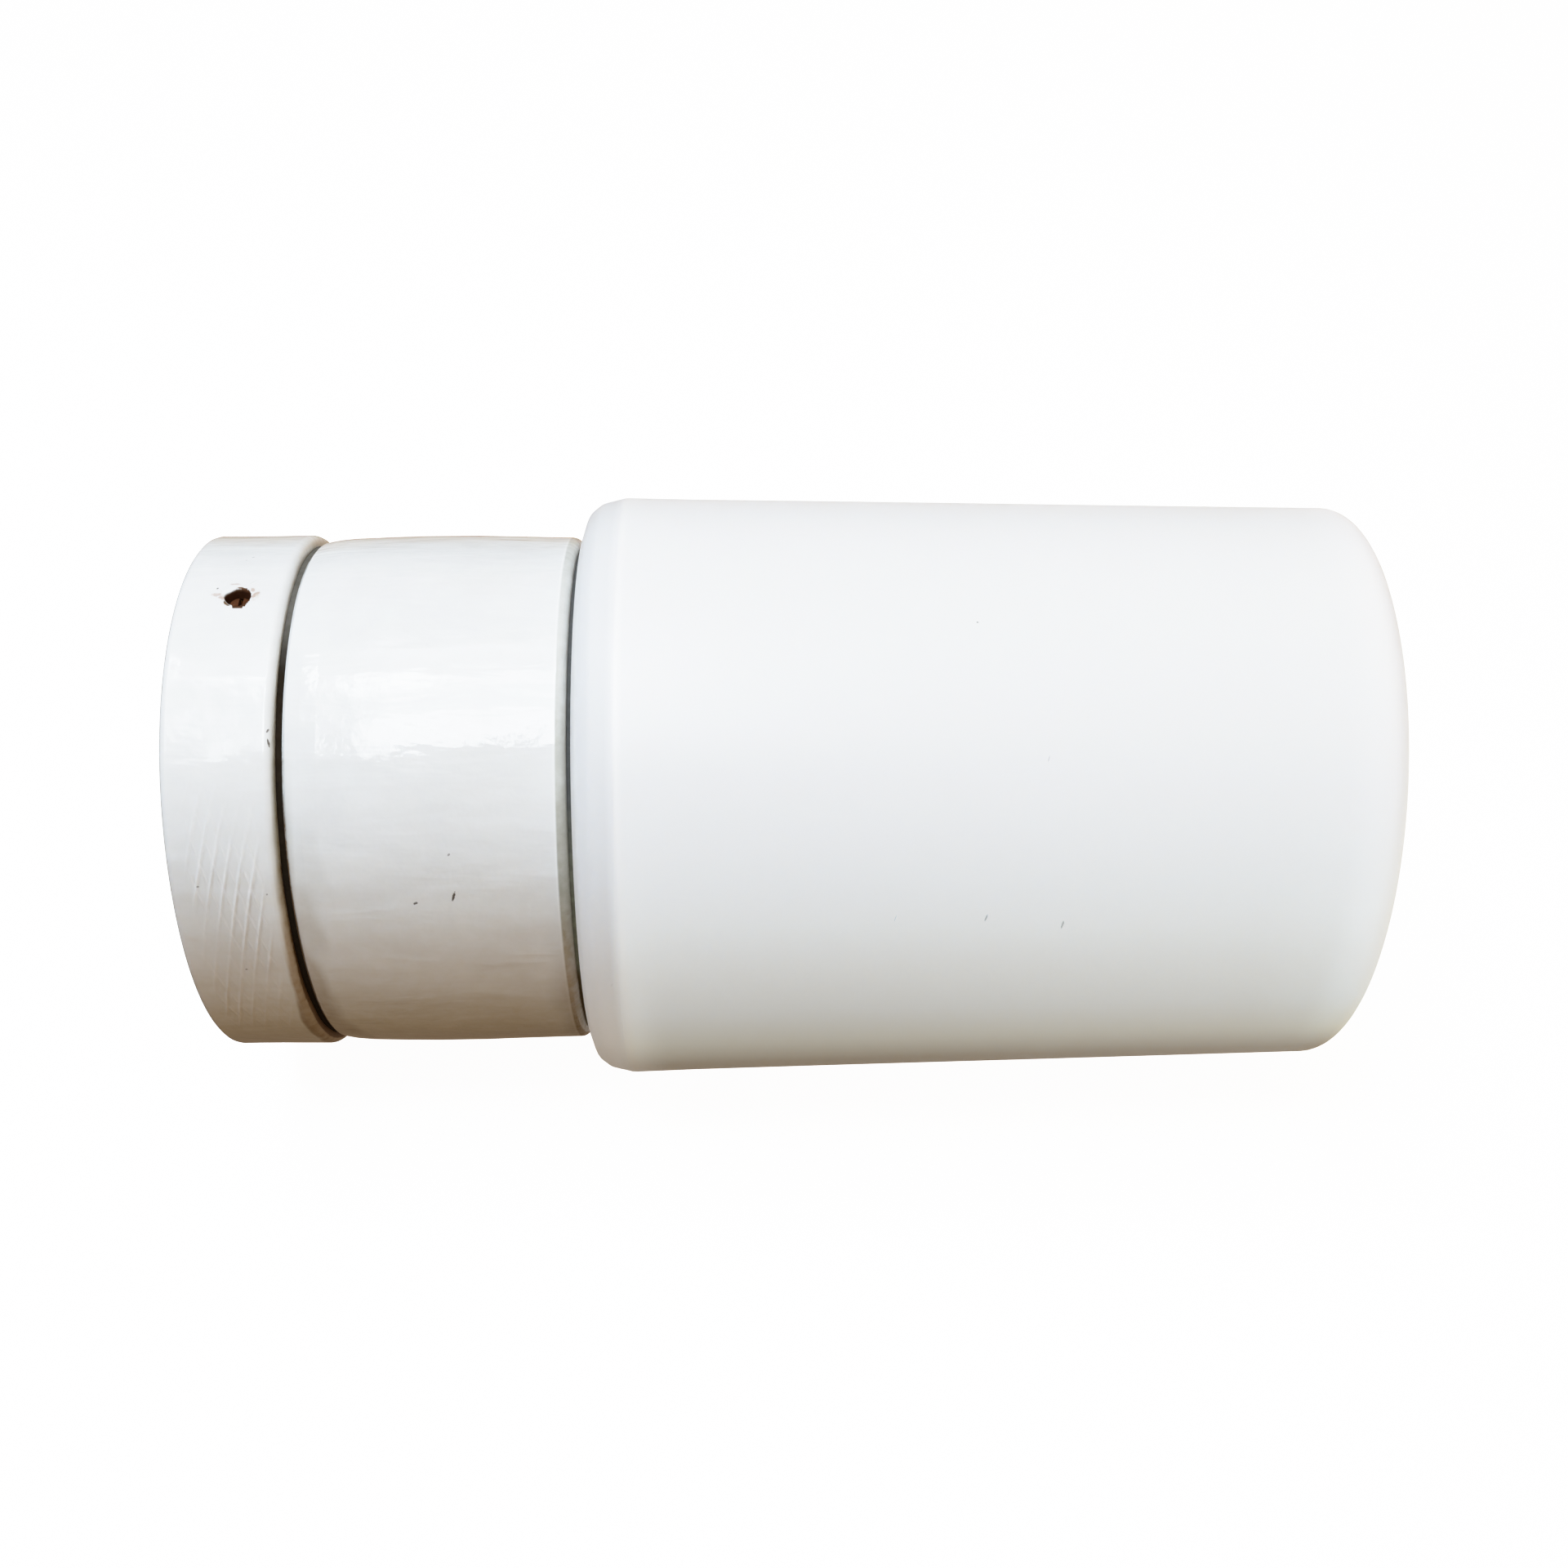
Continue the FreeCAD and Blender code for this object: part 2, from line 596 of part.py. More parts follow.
def terminal_live():
    """A plate in the recess with a bush through the web for the plunger."""
    body = new_body("terminal_live")
    sketch = new_sketch(body, "PlateSketch", lift=size.terminal_rear)
    box_loop(sketch, -3.2, -4.2, size.terminal_screw_pos + 2.7, 4.2)
    padded(body, sketch, size.terminal_thick, "Plate")
    sketch = new_sketch(body, "BushSketch", lift=size.terminal_rear)
    add_circle(sketch, 0, 0, size.bush_outer)
    padded(body, sketch, size.holder_floor + size.bush_proud - size.terminal_rear, "Bush")
    bored(body, "BoreSketch", [(0, 0, size.bush_bore)], THROUGH_TERMINALS, "Bore")
    bored(body, "ScrewHoleSketch", [(*TERMINAL_SCREWS["live"], size.terminal_screw_hole)],
          THROUGH_TERMINALS, "ScrewHole")
    return body


def terminal_neutral():
    """A plate riveted through the web to the screw shell."""
    body = new_body("terminal_neutral")
    sketch = new_sketch(body, "PlateSketch", lift=size.terminal_rear)
    box_loop(sketch, -10.3, -5.0, -4.6, 5.0)
    padded(body, sketch, size.terminal_thick, "Plate")
    bored(body, "HoleSketch",
          [RIVET_HOLE, (*TERMINAL_SCREWS["neutral"], size.terminal_screw_hole)],
          THROUGH_TERMINALS, "Holes")
    return body


def neutral_rivet():
    rear, front = 33.7, size.shell_start + 1.5
    shank = 1.0
    lip_front = size.shell_start + size.shell_lip_thick
    body = new_body("neutral_rivet")
    turned(body, [(rear, 0), (rear, 1.2), (size.terminal_rear, 1.5), (size.terminal_rear, shank),
                  (lip_front, shank), (lip_front, 1.9), (front, 1.3), (front, 0)])
    place(body, (0, -size.rivet_out, size.rivet_up))
    return body


def terminal_screws():
    """Terminal screws, heads towards the wall."""
    rear, tip = size.terminal_screw_rear, size.terminal_screw_tip
    head, shank = size.terminal_screw_head, size.terminal_screw_shank
    screws = []
    for tag, (y, z) in TERMINAL_SCREWS.items():
        body = new_body("terminal_screw_" + tag)
        turned(body, [(rear, 0), (rear, head - 0.4), (rear + 0.3, head), (rear + 1.5, head),
                      (rear + 1.5, shank), (tip - 0.4, shank), (tip, shank - 0.4), (tip, 0)])
        driver_slot(body, rear, half_length=4.0, half_width=0.35, depth=0.8)
        place(body, (0, y, z))
        screws.append(body)
    return grouped("terminal_screws", screws)


def contact_plunger():
    """Sprung centre contact: a brass plunger in the live bush, peened over behind."""
    stem, head, face = size.plunger_stem, size.plunger_head, size.plunger_face
    head_rear = face - size.plunger_head_thick
    body = new_body("contact_plunger")
    turned(body, [(33.9, 0), (33.9, 1.8), (34.5, 2.3), (34.8, 2.3), (34.8, stem),
                  (head_rear, stem), (head_rear, head), (face - 0.5, head),
                  (face, head - 0.9), (face, 0)])
    return body


def contact_spring():
    """Compression spring between the bush and the plunger's head."""
    wire = num(size.spring_wire)
    clearance = 0.02
    coils = 3.5
    start = num(size.holder_floor + size.bush_proud) + wire + clearance
    end = num(size.plunger_face - size.plunger_head_thick) - wire - clearance
    helix = Part.makeHelix((end - start) / coils, end - start, num(size.spring_mean))
    coil = swept(Part.Wire(helix.Edges), start_circle(helix.Edges[0], wire), frenet=True)
    return lay_along_x(feature("contact_spring", coil), start)


def holder_fixings():
    """Fixings of the lampholder to the body's floor: pan-head screws from the front,
    washers and nuts behind."""
    shank, head, tail = size.fix_screw_shank, size.fix_screw_head, size.fix_screw_tail
    ear_front = size.body_floor_front + size.ear_thick
    head_front = ear_front + size.fix_screw_head_high
    washer_rear = size.body_floor_rear - size.washer_thick
    screws, washers, nuts = [], [], []
    for sign, tag in ((1, "a"), (-1, "b")):
        y = size.holder_pitch / 2 * sign
        screw = new_body("holder_screw_" + tag)
        turned(screw, [(tail, 0), (tail, shank - 0.4), (tail + 0.4, shank), (ear_front, shank),
                       (ear_front, head), (ear_front + 1.4, head),
                       (head_front, head - 1.3), (head_front, 0)])
        driver_slot(screw, head_front, half_length=5.0, half_width=0.5, depth=1.2,
                    side="backward")
        washer = flat_ring("holder_washer_" + tag, washer_rear, size.washer_thick,
                           size.nut_bore + 0.2, size.washer_outer)
        nut = hex_nut("holder_nut_" + tag, washer_rear - size.nut_thick, size.nut_flats,
                      size.nut_thick, size.nut_bore)
        for body, group in ((screw, screws), (washer, washers), (nut, nuts)):
            place(body, (0, y, 0))
            group.append(body)
    return [grouped("holder_screws", screws), grouped("holder_washers", washers),
            grouped("holder_nuts", nuts)]


# ---------------------------------------------------------------- supply terminal block
BLOCK_LOW = -size.block_offset - size.block_tall / 2
BLOCK_HIGH = -size.block_offset + size.block_tall / 2
WELL_DEPTH = size.block_pole_station - size.block_rear


def grub_places(side):
    """(y, z) of the two grub screws of the pole on the +Y (1) or -Y (-1) side."""
    return [(size.block_pole * side, -size.block_offset + size.grub_gap * level)
            for level in (1, -1)]


def terminal_block():
    """Two-pole porcelain block on the back of the body's floor."""
    rear = size.block_rear
    body = new_body("terminal_block")
    sketch = new_sketch(body, "BlockSketch", lift=rear)
    box_loop(sketch, -(size.block_width / 2), BLOCK_LOW, size.block_width / 2, BLOCK_HIGH)
    padded(body, sketch, size.body_floor_rear - rear, "Block")
    bored(body, "PoleSketch",
          [(size.block_pole_station, size.block_pole, size.block_tube + 0.05),
           (size.block_pole_station, -size.block_pole, size.block_tube + 0.05)],
          size.block_tall, "PoleBores", role="XY_Plane", lift=BLOCK_LOW)
    wells = [(y, z, size.grub_well) for y, z in grub_places(1) + grub_places(-1)]
    bored(body, "AccessSketch", wells, WELL_DEPTH, "ScrewWells", lift=rear)
    bored(body, "FixSketch", [(0, -size.block_offset, size.block_screw_shank + 0.1)],
          20.0, "FixHole", lift=rear)
    bored(body, "FixHeadSketch", [(0, -size.block_offset, size.block_screw_head + 0.15)],
          size.block_screw_seat, "FixHead", lift=rear)
    return body


def block_tube(tag, sign):
    """Brass tube terminal of one pole, upright in the block."""
    low = BLOCK_LOW + size.block_tube_inset
    station, y = size.block_pole_station, size.block_pole * sign
    body = new_body("block_tube_" + tag)
    sketch = new_sketch(body, "TubeSketch", "XY_Plane", low)
    add_circle(sketch, station, y, size.block_tube)
    padded(body, sketch, size.block_tall - size.block_tube_inset * 2, "Tube")
    bored(body, "BoreSketch", [(station, y, size.block_tube_bore)], size.block_tall, "Bore",
          role="XY_Plane", lift=low)
    holes = [(across, up, size.grub_radius + 0.03) for across, up in grub_places(sign)]
    bored(body, "GrubSketch", holes, WELL_DEPTH, "GrubHoles", lift=size.block_rear)
    return body


def block_grub_screws():
    """Grub screws that clamp the wires in the tubes."""
    rear, tip, radius = size.grub_rear, size.grub_tip, size.grub_radius
    screws = []
    for sign, pole in ((1, "l"), (-1, "n")):
        for level, (y, z) in zip("tb", grub_places(sign)):
            body = new_body("grub_" + pole + level)
            turned(body, [(rear, 0), (rear, radius), (tip - 0.4, radius),
                          (tip, radius - 0.4), (tip, 0)])
            driver_slot(body, rear, half_length=2.5, half_width=0.3, depth=0.8)
            place(body, (0, y, z))
            screws.append(body)
    return grouped("block_grub_screws", screws)


def block_fixing_screw():
    """Screw that holds the block to the floor, head towards the wall."""
    rear, tip = size.block_screw_rear, size.block_screw_tip
    head, shank = size.block_screw_head, size.block_screw_shank
    seat = size.block_rear + size.block_screw_seat
    body = new_body("block_fixing_screw")
    turned(body, [(rear, 0), (rear, head - 0.5), (rear + 0.6, head), (seat, head),
                  (seat, shank), (tip - 0.4, shank), (tip, shank - 0.4), (tip, 0)])
    driver_slot(body, rear, half_length=4.0, half_width=0.4, depth=1.2)
    place(body, (0, 0, -size.block_offset))
    return body


def block_fixing_nut():
    """Nut on the front of the body's floor."""
    body = hex_nut("block_fixing_nut", size.body_floor_front, size.block_nut_flats,
                   size.block_nut_thick, size.block_screw_shank + 0.03)
    place(body, (0, 0, -size.block_offset))
    return body


# ---------------------------------------------------------------- internal wiring
def wire(tag, sign):
    """One insulated wire, from its pole of the block to its terminal screw: a core
    over the whole path and a sleeve over the middle of it."""
    station, pole = size.block_pole_station, size.block_pole * sign
    middle = -size.block_offset
    end_y, end_z = (num(part) for part in TERMINAL_SCREWS[tag])
    path = [  # (x, y, z)
        # straight up through the tube
        (station, pole, middle + 1.0), (station, pole, middle + 4.0),
        (station, pole, middle + 7.0), (station, pole, middle + 9.5),
        # forward through the floor's port
        (station + 1.6, 5.2 * sign, middle + 14.0),
        (23.0, 4.6 * sign, -5.8), (28.0, 4.4 * sign, -4.8),
        # round the terminal screw
        (32.2, end_y - 1.4 * sign, end_z - 4.6), (34.1, end_y + 0.6 * sign, end_z - 3.4),
        (34.15, end_y + 2.05 * sign, end_z - 1.6), (34.15, end_y + 2.15 * sign, end_z + 0.4)]
    return [rod("wire_%s_core" % tag, path, size.core_radius),
            rod("wire_%s_sleeve" % tag, path, size.sleeve_radius, size.sleeve_bore,
                first=3, last=7)]


# ---------------------------------------------------------------- lamp
# Standard A60 lamp with an E27 cap.
NECK_BORE = size.bulb_neck - size.bulb_wall


def bulb_glass():
    """A globe whose tangent cone runs back into a straight neck. Angles on the globe
    are in degrees about its centre, from the axis on the neck side."""
    cone_angle = 58
    via_angle = 100

    def on_globe(radius, degrees):
        angle = math.radians(degrees)
        return SIZES["bulb_centre"] - radius * math.cos(angle), radius * math.sin(angle)

    def neck_bend(point, neck_radius):
        """Station where the tangent from the point reaches the neck."""
        return point[0] - (point[1] - neck_radius) * math.tan(math.radians(cone_angle))

    outer = SIZES["bulb_radius"]
    inner = outer - SIZES["bulb_wall"]
    outer_cone, inner_cone = on_globe(outer, cone_angle), on_globe(inner, cone_angle)
    outer_bend = neck_bend(outer_cone, num(size.bulb_neck))
    inner_bend = neck_bend(inner_cone, num(NECK_BORE))
    front = size.bulb_centre + size.bulb_radius
    body = new_body("bulb_glass")
    turned(body, [(size.bulb_neck_start, NECK_BORE), (inner_bend, NECK_BORE), inner_cone,
                  ("via", *on_globe(inner, via_angle)), (front - size.bulb_wall, 0), (front, 0),
                  ("via", *on_globe(outer, via_angle)), outer_cone,
                  (outer_bend, size.bulb_neck), (size.bulb_neck_start, size.bulb_neck)])
    rounded(body, "NeckOuterBlend", 18.0, [(outer_bend, size.bulb_neck)])
    rounded(body, "NeckInnerBlend", 18.8, [(inner_bend, NECK_BORE)])
    return body


def bulb_cap():
    """Threaded cap with a flared front rim."""
    rim = size.cap_wall_outer + size.cap_rim
    body = new_body("bulb_cap_drawn")
    turned(body, [(size.cap_start, size.cap_wall_inner), (size.cap_end, size.cap_wall_inner),
                  (size.cap_end, rim), (size.cap_end - 1.2, rim),
                  (size.cap_end - 2.2, size.cap_wall_outer),
                  (size.cap_start, size.cap_wall_outer)])
    thread = ridge("bulb_cap_ridge", root=size.cap_wall_outer, crest=size.cap_crest,
                   start=size.cap_ridge_start, run=size.cap_ridge_run,
                   pitch=size.lamp_pitch, root_width=2.0, crest_width=0.7, embed=0.35)
    return fused("bulb_cap", body, thread)


def bulb_insulator():
    rear, end, bore = size.insulator_rear, size.insulator_end, size.insulator_bore
    outer = size.cap_wall_inner - 0.02
    body = new_body("bulb_insulator")
    turned(body, [(rear, bore), (rear, 5.2), (size.cap_start, 10.4), (size.cap_start, outer),
                  (end, outer), (end, bore)])
    return body


def bulb_tip():
    """Centre contact of the lamp, behind the insulator."""
    body = new_body("bulb_tip")
    turned(body, [(size.lamp_tip, 0), (size.lamp_tip, 2.4), (size.lamp_tip + 0.5, 4.0),
                  (size.insulator_rear, 4.7), (size.insulator_rear, 0)])
    return body


def bulb_stem():
    """Glass tube that flares at the back to the neck."""
    rear = 52.2
    body = new_body("bulb_stem")
    turned(body, [(rear, NECK_BORE - 0.3), (53.2, NECK_BORE - 0.05),
                  (58.0, size.stem_outer + 2.0), (64.0, size.stem_outer),
                  (size.stem_end, size.stem_outer), (size.stem_end, size.stem_inner),
                  (63.6, size.stem_inner), (57.2, size.stem_inner + 2.0),
                  (rear, NECK_BORE - 1.3)])
    return body


# (x, distance from the axis) along one lead
LEAD_PATH = [(53.0, 0.9), (62.0, 0.9), (71.0, 0.9), (80.0, 0.9), (88.0, 0.95), (96.0, 1.4),
             (104.0, 4.0), (110.0, 7.6), (116.0, 12.0)]
# (x, y, z) along the filament
FILAMENT_PATH = [(116.6, 12.2, 0), (118.2, 6.0, 2.6), (118.8, 0, 3.6), (118.2, -6.0, 2.6),
                 (116.6, -12.2, 0)]


def bulb_leads():
    """Two leads up the stem, spreading in Y towards the filament's ends."""
    leads = [rod("bulb_lead_" + tag, [(x, out * sign, 0) for x, out in LEAD_PATH],
                 size.lead_radius)
             for sign, tag in ((1, "a"), (-1, "b"))]
    return grouped("bulb_leads", leads)


# ---------------------------------------------------------------- build
pieces = [
    mounting_ring(),
    set_screw_inserts(),
    set_screw("top", 1),
    set_screw("bottom", -1),
    cable_grommet(),
    # flat rubber seal between the ring and the lamp body
    flat_ring("base_seal", size.ring_depth, size.seal_thick, size.seal_inner, size.seal_outer),
    lamp_body(),
    # rubber gasket the glass shoulder closes on
    flat_ring("shade_gasket", size.body_end, size.gasket_thick, size.gasket_inner,
              size.gasket_outer),
    shade(),
    holder_body(),
    holder_shell(),
    terminal_live(),
    terminal_neutral(),
    neutral_rivet(),
    terminal_screws(),
    contact_plunger(),
    contact_spring(),
    *holder_fixings(),
    terminal_block(),
    block_tube("live", 1),
    block_tube("neutral", -1),
    block_grub_screws(),
    block_fixing_screw(),
    block_fixing_nut(),
    *wire("live", 1),
    *wire("neutral", -1),
    bulb_glass(),
    bulb_cap(),
    bulb_insulator(),
    bulb_tip(),
    bulb_stem(),
    bulb_leads(),
    rod("bulb_filament", FILAMENT_PATH, size.filament_radius),
]

# ---------------------------------------------------------------- check and write
doc.recompute()
faults = []
for obj in doc.Objects:
    for state in obj.State:
        if "Invalid" in state or "Error" in state:
            faults.append("%s: %s" % (obj.Label, state))
for piece in pieces:
    shape = piece.Shape
    if shape.isNull() or not shape.isValid() or not shape.Solids:
        faults.append("%s: shape null, not valid or with no solid" % piece.Label)
    elif min(solid.Volume for solid in shape.Solids) <= 0:
        faults.append("%s: a solid has no volume" % piece.Label)
if faults:
    raise RuntimeError("; ".join(faults))

for old in os.listdir(OUT):
    if old.endswith(".step"):
        os.remove(os.path.join(OUT, old))
for piece in pieces:
    piece.Shape.exportStep(os.path.join(OUT, piece.Label + ".step"))
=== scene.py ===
"""A round lamp: glazed porcelain mounting ring and body, opal glass shade.

The lamp lies with its axis on X: the ring's rear face is at x = 0 and the shade closes at the +X
end. Z is up. Shapes are in mm and are turned into metres with MM; materials and lights use metres.
Angles about the axis start at +Z and grow towards -Y, the camera's side.
"""
import json
import math

import bmesh
import bpy
import numpy as np
from mathutils import Matrix, Vector


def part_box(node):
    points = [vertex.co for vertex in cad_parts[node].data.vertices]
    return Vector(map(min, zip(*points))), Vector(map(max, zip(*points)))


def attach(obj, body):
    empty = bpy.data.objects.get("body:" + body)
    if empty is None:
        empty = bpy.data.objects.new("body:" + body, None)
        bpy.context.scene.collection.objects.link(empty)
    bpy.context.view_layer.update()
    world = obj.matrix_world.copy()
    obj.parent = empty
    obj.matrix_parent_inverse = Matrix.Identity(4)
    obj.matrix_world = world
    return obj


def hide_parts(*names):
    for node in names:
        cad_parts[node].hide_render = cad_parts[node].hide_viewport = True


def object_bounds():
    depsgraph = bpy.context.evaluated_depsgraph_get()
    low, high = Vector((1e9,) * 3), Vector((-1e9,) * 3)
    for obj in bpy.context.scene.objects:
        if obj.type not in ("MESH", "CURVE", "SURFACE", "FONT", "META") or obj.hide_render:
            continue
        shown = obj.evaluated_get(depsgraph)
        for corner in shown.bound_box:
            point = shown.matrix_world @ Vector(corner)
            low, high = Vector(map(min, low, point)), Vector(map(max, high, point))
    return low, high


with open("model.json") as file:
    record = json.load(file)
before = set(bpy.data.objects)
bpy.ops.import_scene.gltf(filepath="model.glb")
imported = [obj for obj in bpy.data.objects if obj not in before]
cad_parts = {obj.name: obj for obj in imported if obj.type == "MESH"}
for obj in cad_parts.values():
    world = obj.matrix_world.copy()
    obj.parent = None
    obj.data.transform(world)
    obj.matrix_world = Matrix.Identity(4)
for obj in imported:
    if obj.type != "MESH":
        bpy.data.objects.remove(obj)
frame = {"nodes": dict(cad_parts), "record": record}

MM = 0.001
TAU = 2 * math.pi
ELEVATION = 45.8                  # degrees the camera stands above the horizontal
scene = bpy.context.scene


def bounds_list():
    return [list(map(float, corner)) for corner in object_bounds()]


cad_box = bounds_list()

# Stations along X and the ring's radius, read from the CAD pieces
RING_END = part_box("mounting_ring")[1].x / MM
RING_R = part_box("mounting_ring")[1].z / MM
SEAL_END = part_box("base_seal")[1].x / MM
BODY_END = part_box("shade_gasket")[0].x / MM
SHADE_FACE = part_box("shade_gasket")[1].x / MM
SHADE_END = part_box("shade")[1].x / MM

# Ring features
NET_STEP = 2.45                   # spacing of the moulded net along X
NET_COUNT = 34                    # net lines round the ring
HOLE_X = 11.3                     # station of the two set-screw holes
HOLE_ANGLES = (0.0, math.pi)

THREAD_PITCH = 6.0


# ------------------------------------------------------------------ view
def set_view():
    """Standard view with a gentle shoulder, so bright glaze rolls off instead of clipping."""
    white, knee = 4.0, 0.62
    view = scene.view_settings
    view.view_transform = "Standard"
    view.look = "None"
    view.exposure = 0.0
    view.gamma = 1.0
    view.use_curve_mapping = True
    tone = view.curve_mapping
    tone.use_clip = False
    tone.extend = "HORIZONTAL"
    tone.white_level = (white, white, white)
    head = 1 - knee
    points = [(level, level) for level in (0.0, 0.2, 0.4, knee)]
    points += [(level, knee + head * (1 - math.exp(-(level - knee) / head)))
               for level in (0.72, 0.82, 0.92, 1.04, 1.18, 1.35, 1.6, 2.0, 2.6)]
    points.append((white, 1.0))
    curve = tone.curves[3]
    while len(curve.points) < len(points):
        curve.points.new(0.5, 0.5)
    for point, (level, shown) in zip(curve.points, points):
        point.location = (level / white, shown)
        point.handle_type = "VECTOR"
    tone.update()


set_view()


# ------------------------------------------------------------------ angles and masks
def facing(up):
    """Angle about the axis, in radians, for degrees measured upwards from the camera's side."""
    return math.radians(90.0 - (up + ELEVATION))


def degrees_up(angle):
    """The reverse of facing: 0 faces the camera, positive is higher."""
    return np.degrees((facing(0) - angle + math.pi) % TAU - math.pi)


def unit(value):
    return np.clip(value, 0, 1)


def underside(up, start, span):
    """0 to 1 over span degrees below start, and 0.7 round the far side."""
    near = unit((start - up) / span) * (np.abs(up) < 140)
    return np.maximum(near, unit((np.abs(up) - 110) / 40) * 0.7)


def smooth_noise(seed, terms, max_x, max_turn):
    """A fixed, seam-free sum of waves over station (mm) and angle."""
    rng = np.random.RandomState(seed)
    rate_x = rng.uniform(-max_x, max_x, terms)
    rate_turn = rng.randint(-max_turn, max_turn + 1, terms)
    phase = rng.uniform(0, TAU, terms)
    height = rng.uniform(0.4, 1.0, terms)
    height /= np.sqrt((height ** 2).sum() / 2)

    def waves(x, angle):
        total = np.zeros(np.broadcast(x, angle).shape)
        for i in range(terms):
            total += height[i] * np.sin(rate_x[i] * x + rate_turn[i] * angle + phase[i])
        return total
    return waves


# ------------------------------------------------------------------ mesh helpers
def round_path(corners, step, closed=True):
    """Dense (x, radius) path through (x, radius, rounding) corners, straight runs split at step.
    The ends of an open path are left sharp."""
    count = len(corners)
    arcs = []
    for i in range(count):
        corner = np.array(corners[i][:2], float)
        if not closed and i in (0, count - 1):
            arcs.append([corner])
            continue
        back = np.array(corners[i - 1][:2], float) - corner
        ahead = np.array(corners[(i + 1) % count][:2], float) - corner
        back_len, ahead_len = np.linalg.norm(back), np.linalg.norm(ahead)
        back, ahead = back / back_len, ahead / ahead_len
        opening = math.acos(max(-1, min(1, float(back @ ahead))))
        if opening > math.pi - 1e-3:          # a straight run has no corner to round
            arcs.append([corner])
            continue
        half_tan = math.tan(opening / 2)
        trim = min(corners[i][2] / half_tan, back_len * 0.49, ahead_len * 0.49)
        radius = trim * half_tan
        middle = (back + ahead) / np.linalg.norm(back + ahead)
        centre = corner + middle * (radius / math.sin(opening / 2))
        first = corner + back * trim - centre
        last = corner + ahead * trim - centre
        start = math.atan2(first[1], first[0])
        sweep = (math.atan2(last[1], last[0]) - start + math.pi) % TAU - math.pi
        parts = min(24, max(3, int(abs(sweep) * radius / (step * 0.5)) + 1))
        turns = [start + sweep * j / parts for j in range(parts + 1)]
        arcs.append([centre + radius * np.array([math.cos(a), math.sin(a)]) for a in turns])
    path = []
    for i in range(count):
        path += arcs[i]
        if closed or i < count - 1:
            start, end = arcs[i][-1], arcs[(i + 1) % count][0]
            length = np.linalg.norm(end - start)
            if length > step:
                parts = int(length / step) + 1
                path += [start + (end - start) * j / parts for j in range(1, parts)]
    return np.array(path)


def shade_smooth(obj):
    obj.data.polygons.foreach_set("use_smooth", [True] * len(obj.data.polygons))


def make_object(name, verts, faces, smooth=True):
    mesh = bpy.data.meshes.new(name)
    mesh.from_pydata([tuple(vert) for vert in verts], [], faces)
    mesh.update()
    obj = bpy.data.objects.new(name, mesh)
    scene.collection.objects.link(obj)
    work = bmesh.new()
    work.from_mesh(mesh)
    bmesh.ops.recalc_face_normals(work, faces=work.faces)
    work.to_mesh(mesh)
    work.free()
    if smooth:
        shade_smooth(obj)
    return obj


def tube_faces(rings, size):
    """Sides and end caps for rings of size vertices each."""
    faces = [(i * size + j, i * size + (j + 1) % size,
              (i + 1) * size + (j + 1) % size, (i + 1) * size + j)
             for i in range(rings - 1) for j in range(size)]
    last = range((rings - 1) * size, rings * size)
    return faces + [tuple(reversed(range(size))), tuple(last)]


def lathe(name, path, segments, push):
    """Turned solid about X from a closed (x, radius) path in mm.
    push(x, radius, angle, normal_x, normal_r) gives a shift in mm along the outward normal."""
    ahead = np.roll(path, -1, 0)
    tangent = ahead - np.roll(path, 1, 0)
    tangent /= np.maximum(np.linalg.norm(tangent, axis=1, keepdims=True), 1e-9)
    area = 0.5 * np.sum(path[:, 0] * ahead[:, 1] - ahead[:, 0] * path[:, 1])
    normal = np.stack([tangent[:, 1], -tangent[:, 0]], 1) * (1 if area > 0 else -1)
    normal_x, normal_r = normal[:, 0:1], normal[:, 1:2]
    x = np.repeat(path[:, 0:1], segments, 1)
    radius = np.repeat(path[:, 1:2], segments, 1)
    angle = np.repeat((np.arange(segments) * TAU / segments)[None, :], len(path), 0)
    shift = push(x, radius, angle, normal_x, normal_r)
    x = x + normal_x * shift
    radius = radius + normal_r * shift
    verts, index = [], np.zeros((len(path), segments), int)
    on_axis = path[:, 1] < 1e-6
    for i in range(len(path)):
        if on_axis[i]:
            index[i, :] = len(verts)
            verts.append((x[i, 0] * MM, 0.0, 0.0))
        else:
            index[i, :] = len(verts) + np.arange(segments)
            verts.extend(zip(x[i] * MM, -(radius[i] * np.sin(angle[i]) * MM),
                             radius[i] * np.cos(angle[i]) * MM))
    faces = []
    for i in range(len(path)):
        j = (i + 1) % len(path)
        if on_axis[i] and on_axis[j]:
            continue
        here, there = index[i], index[j]
        for k in range(segments):
            after = (k + 1) % segments
            if on_axis[i]:
                faces.append((here[k], there[after], there[k]))
            elif on_axis[j]:
                faces.append((here[k], here[after], there[k]))
            else:
                faces.append((here[k], here[after], there[after], there[k]))
    return make_object(name, verts, faces)


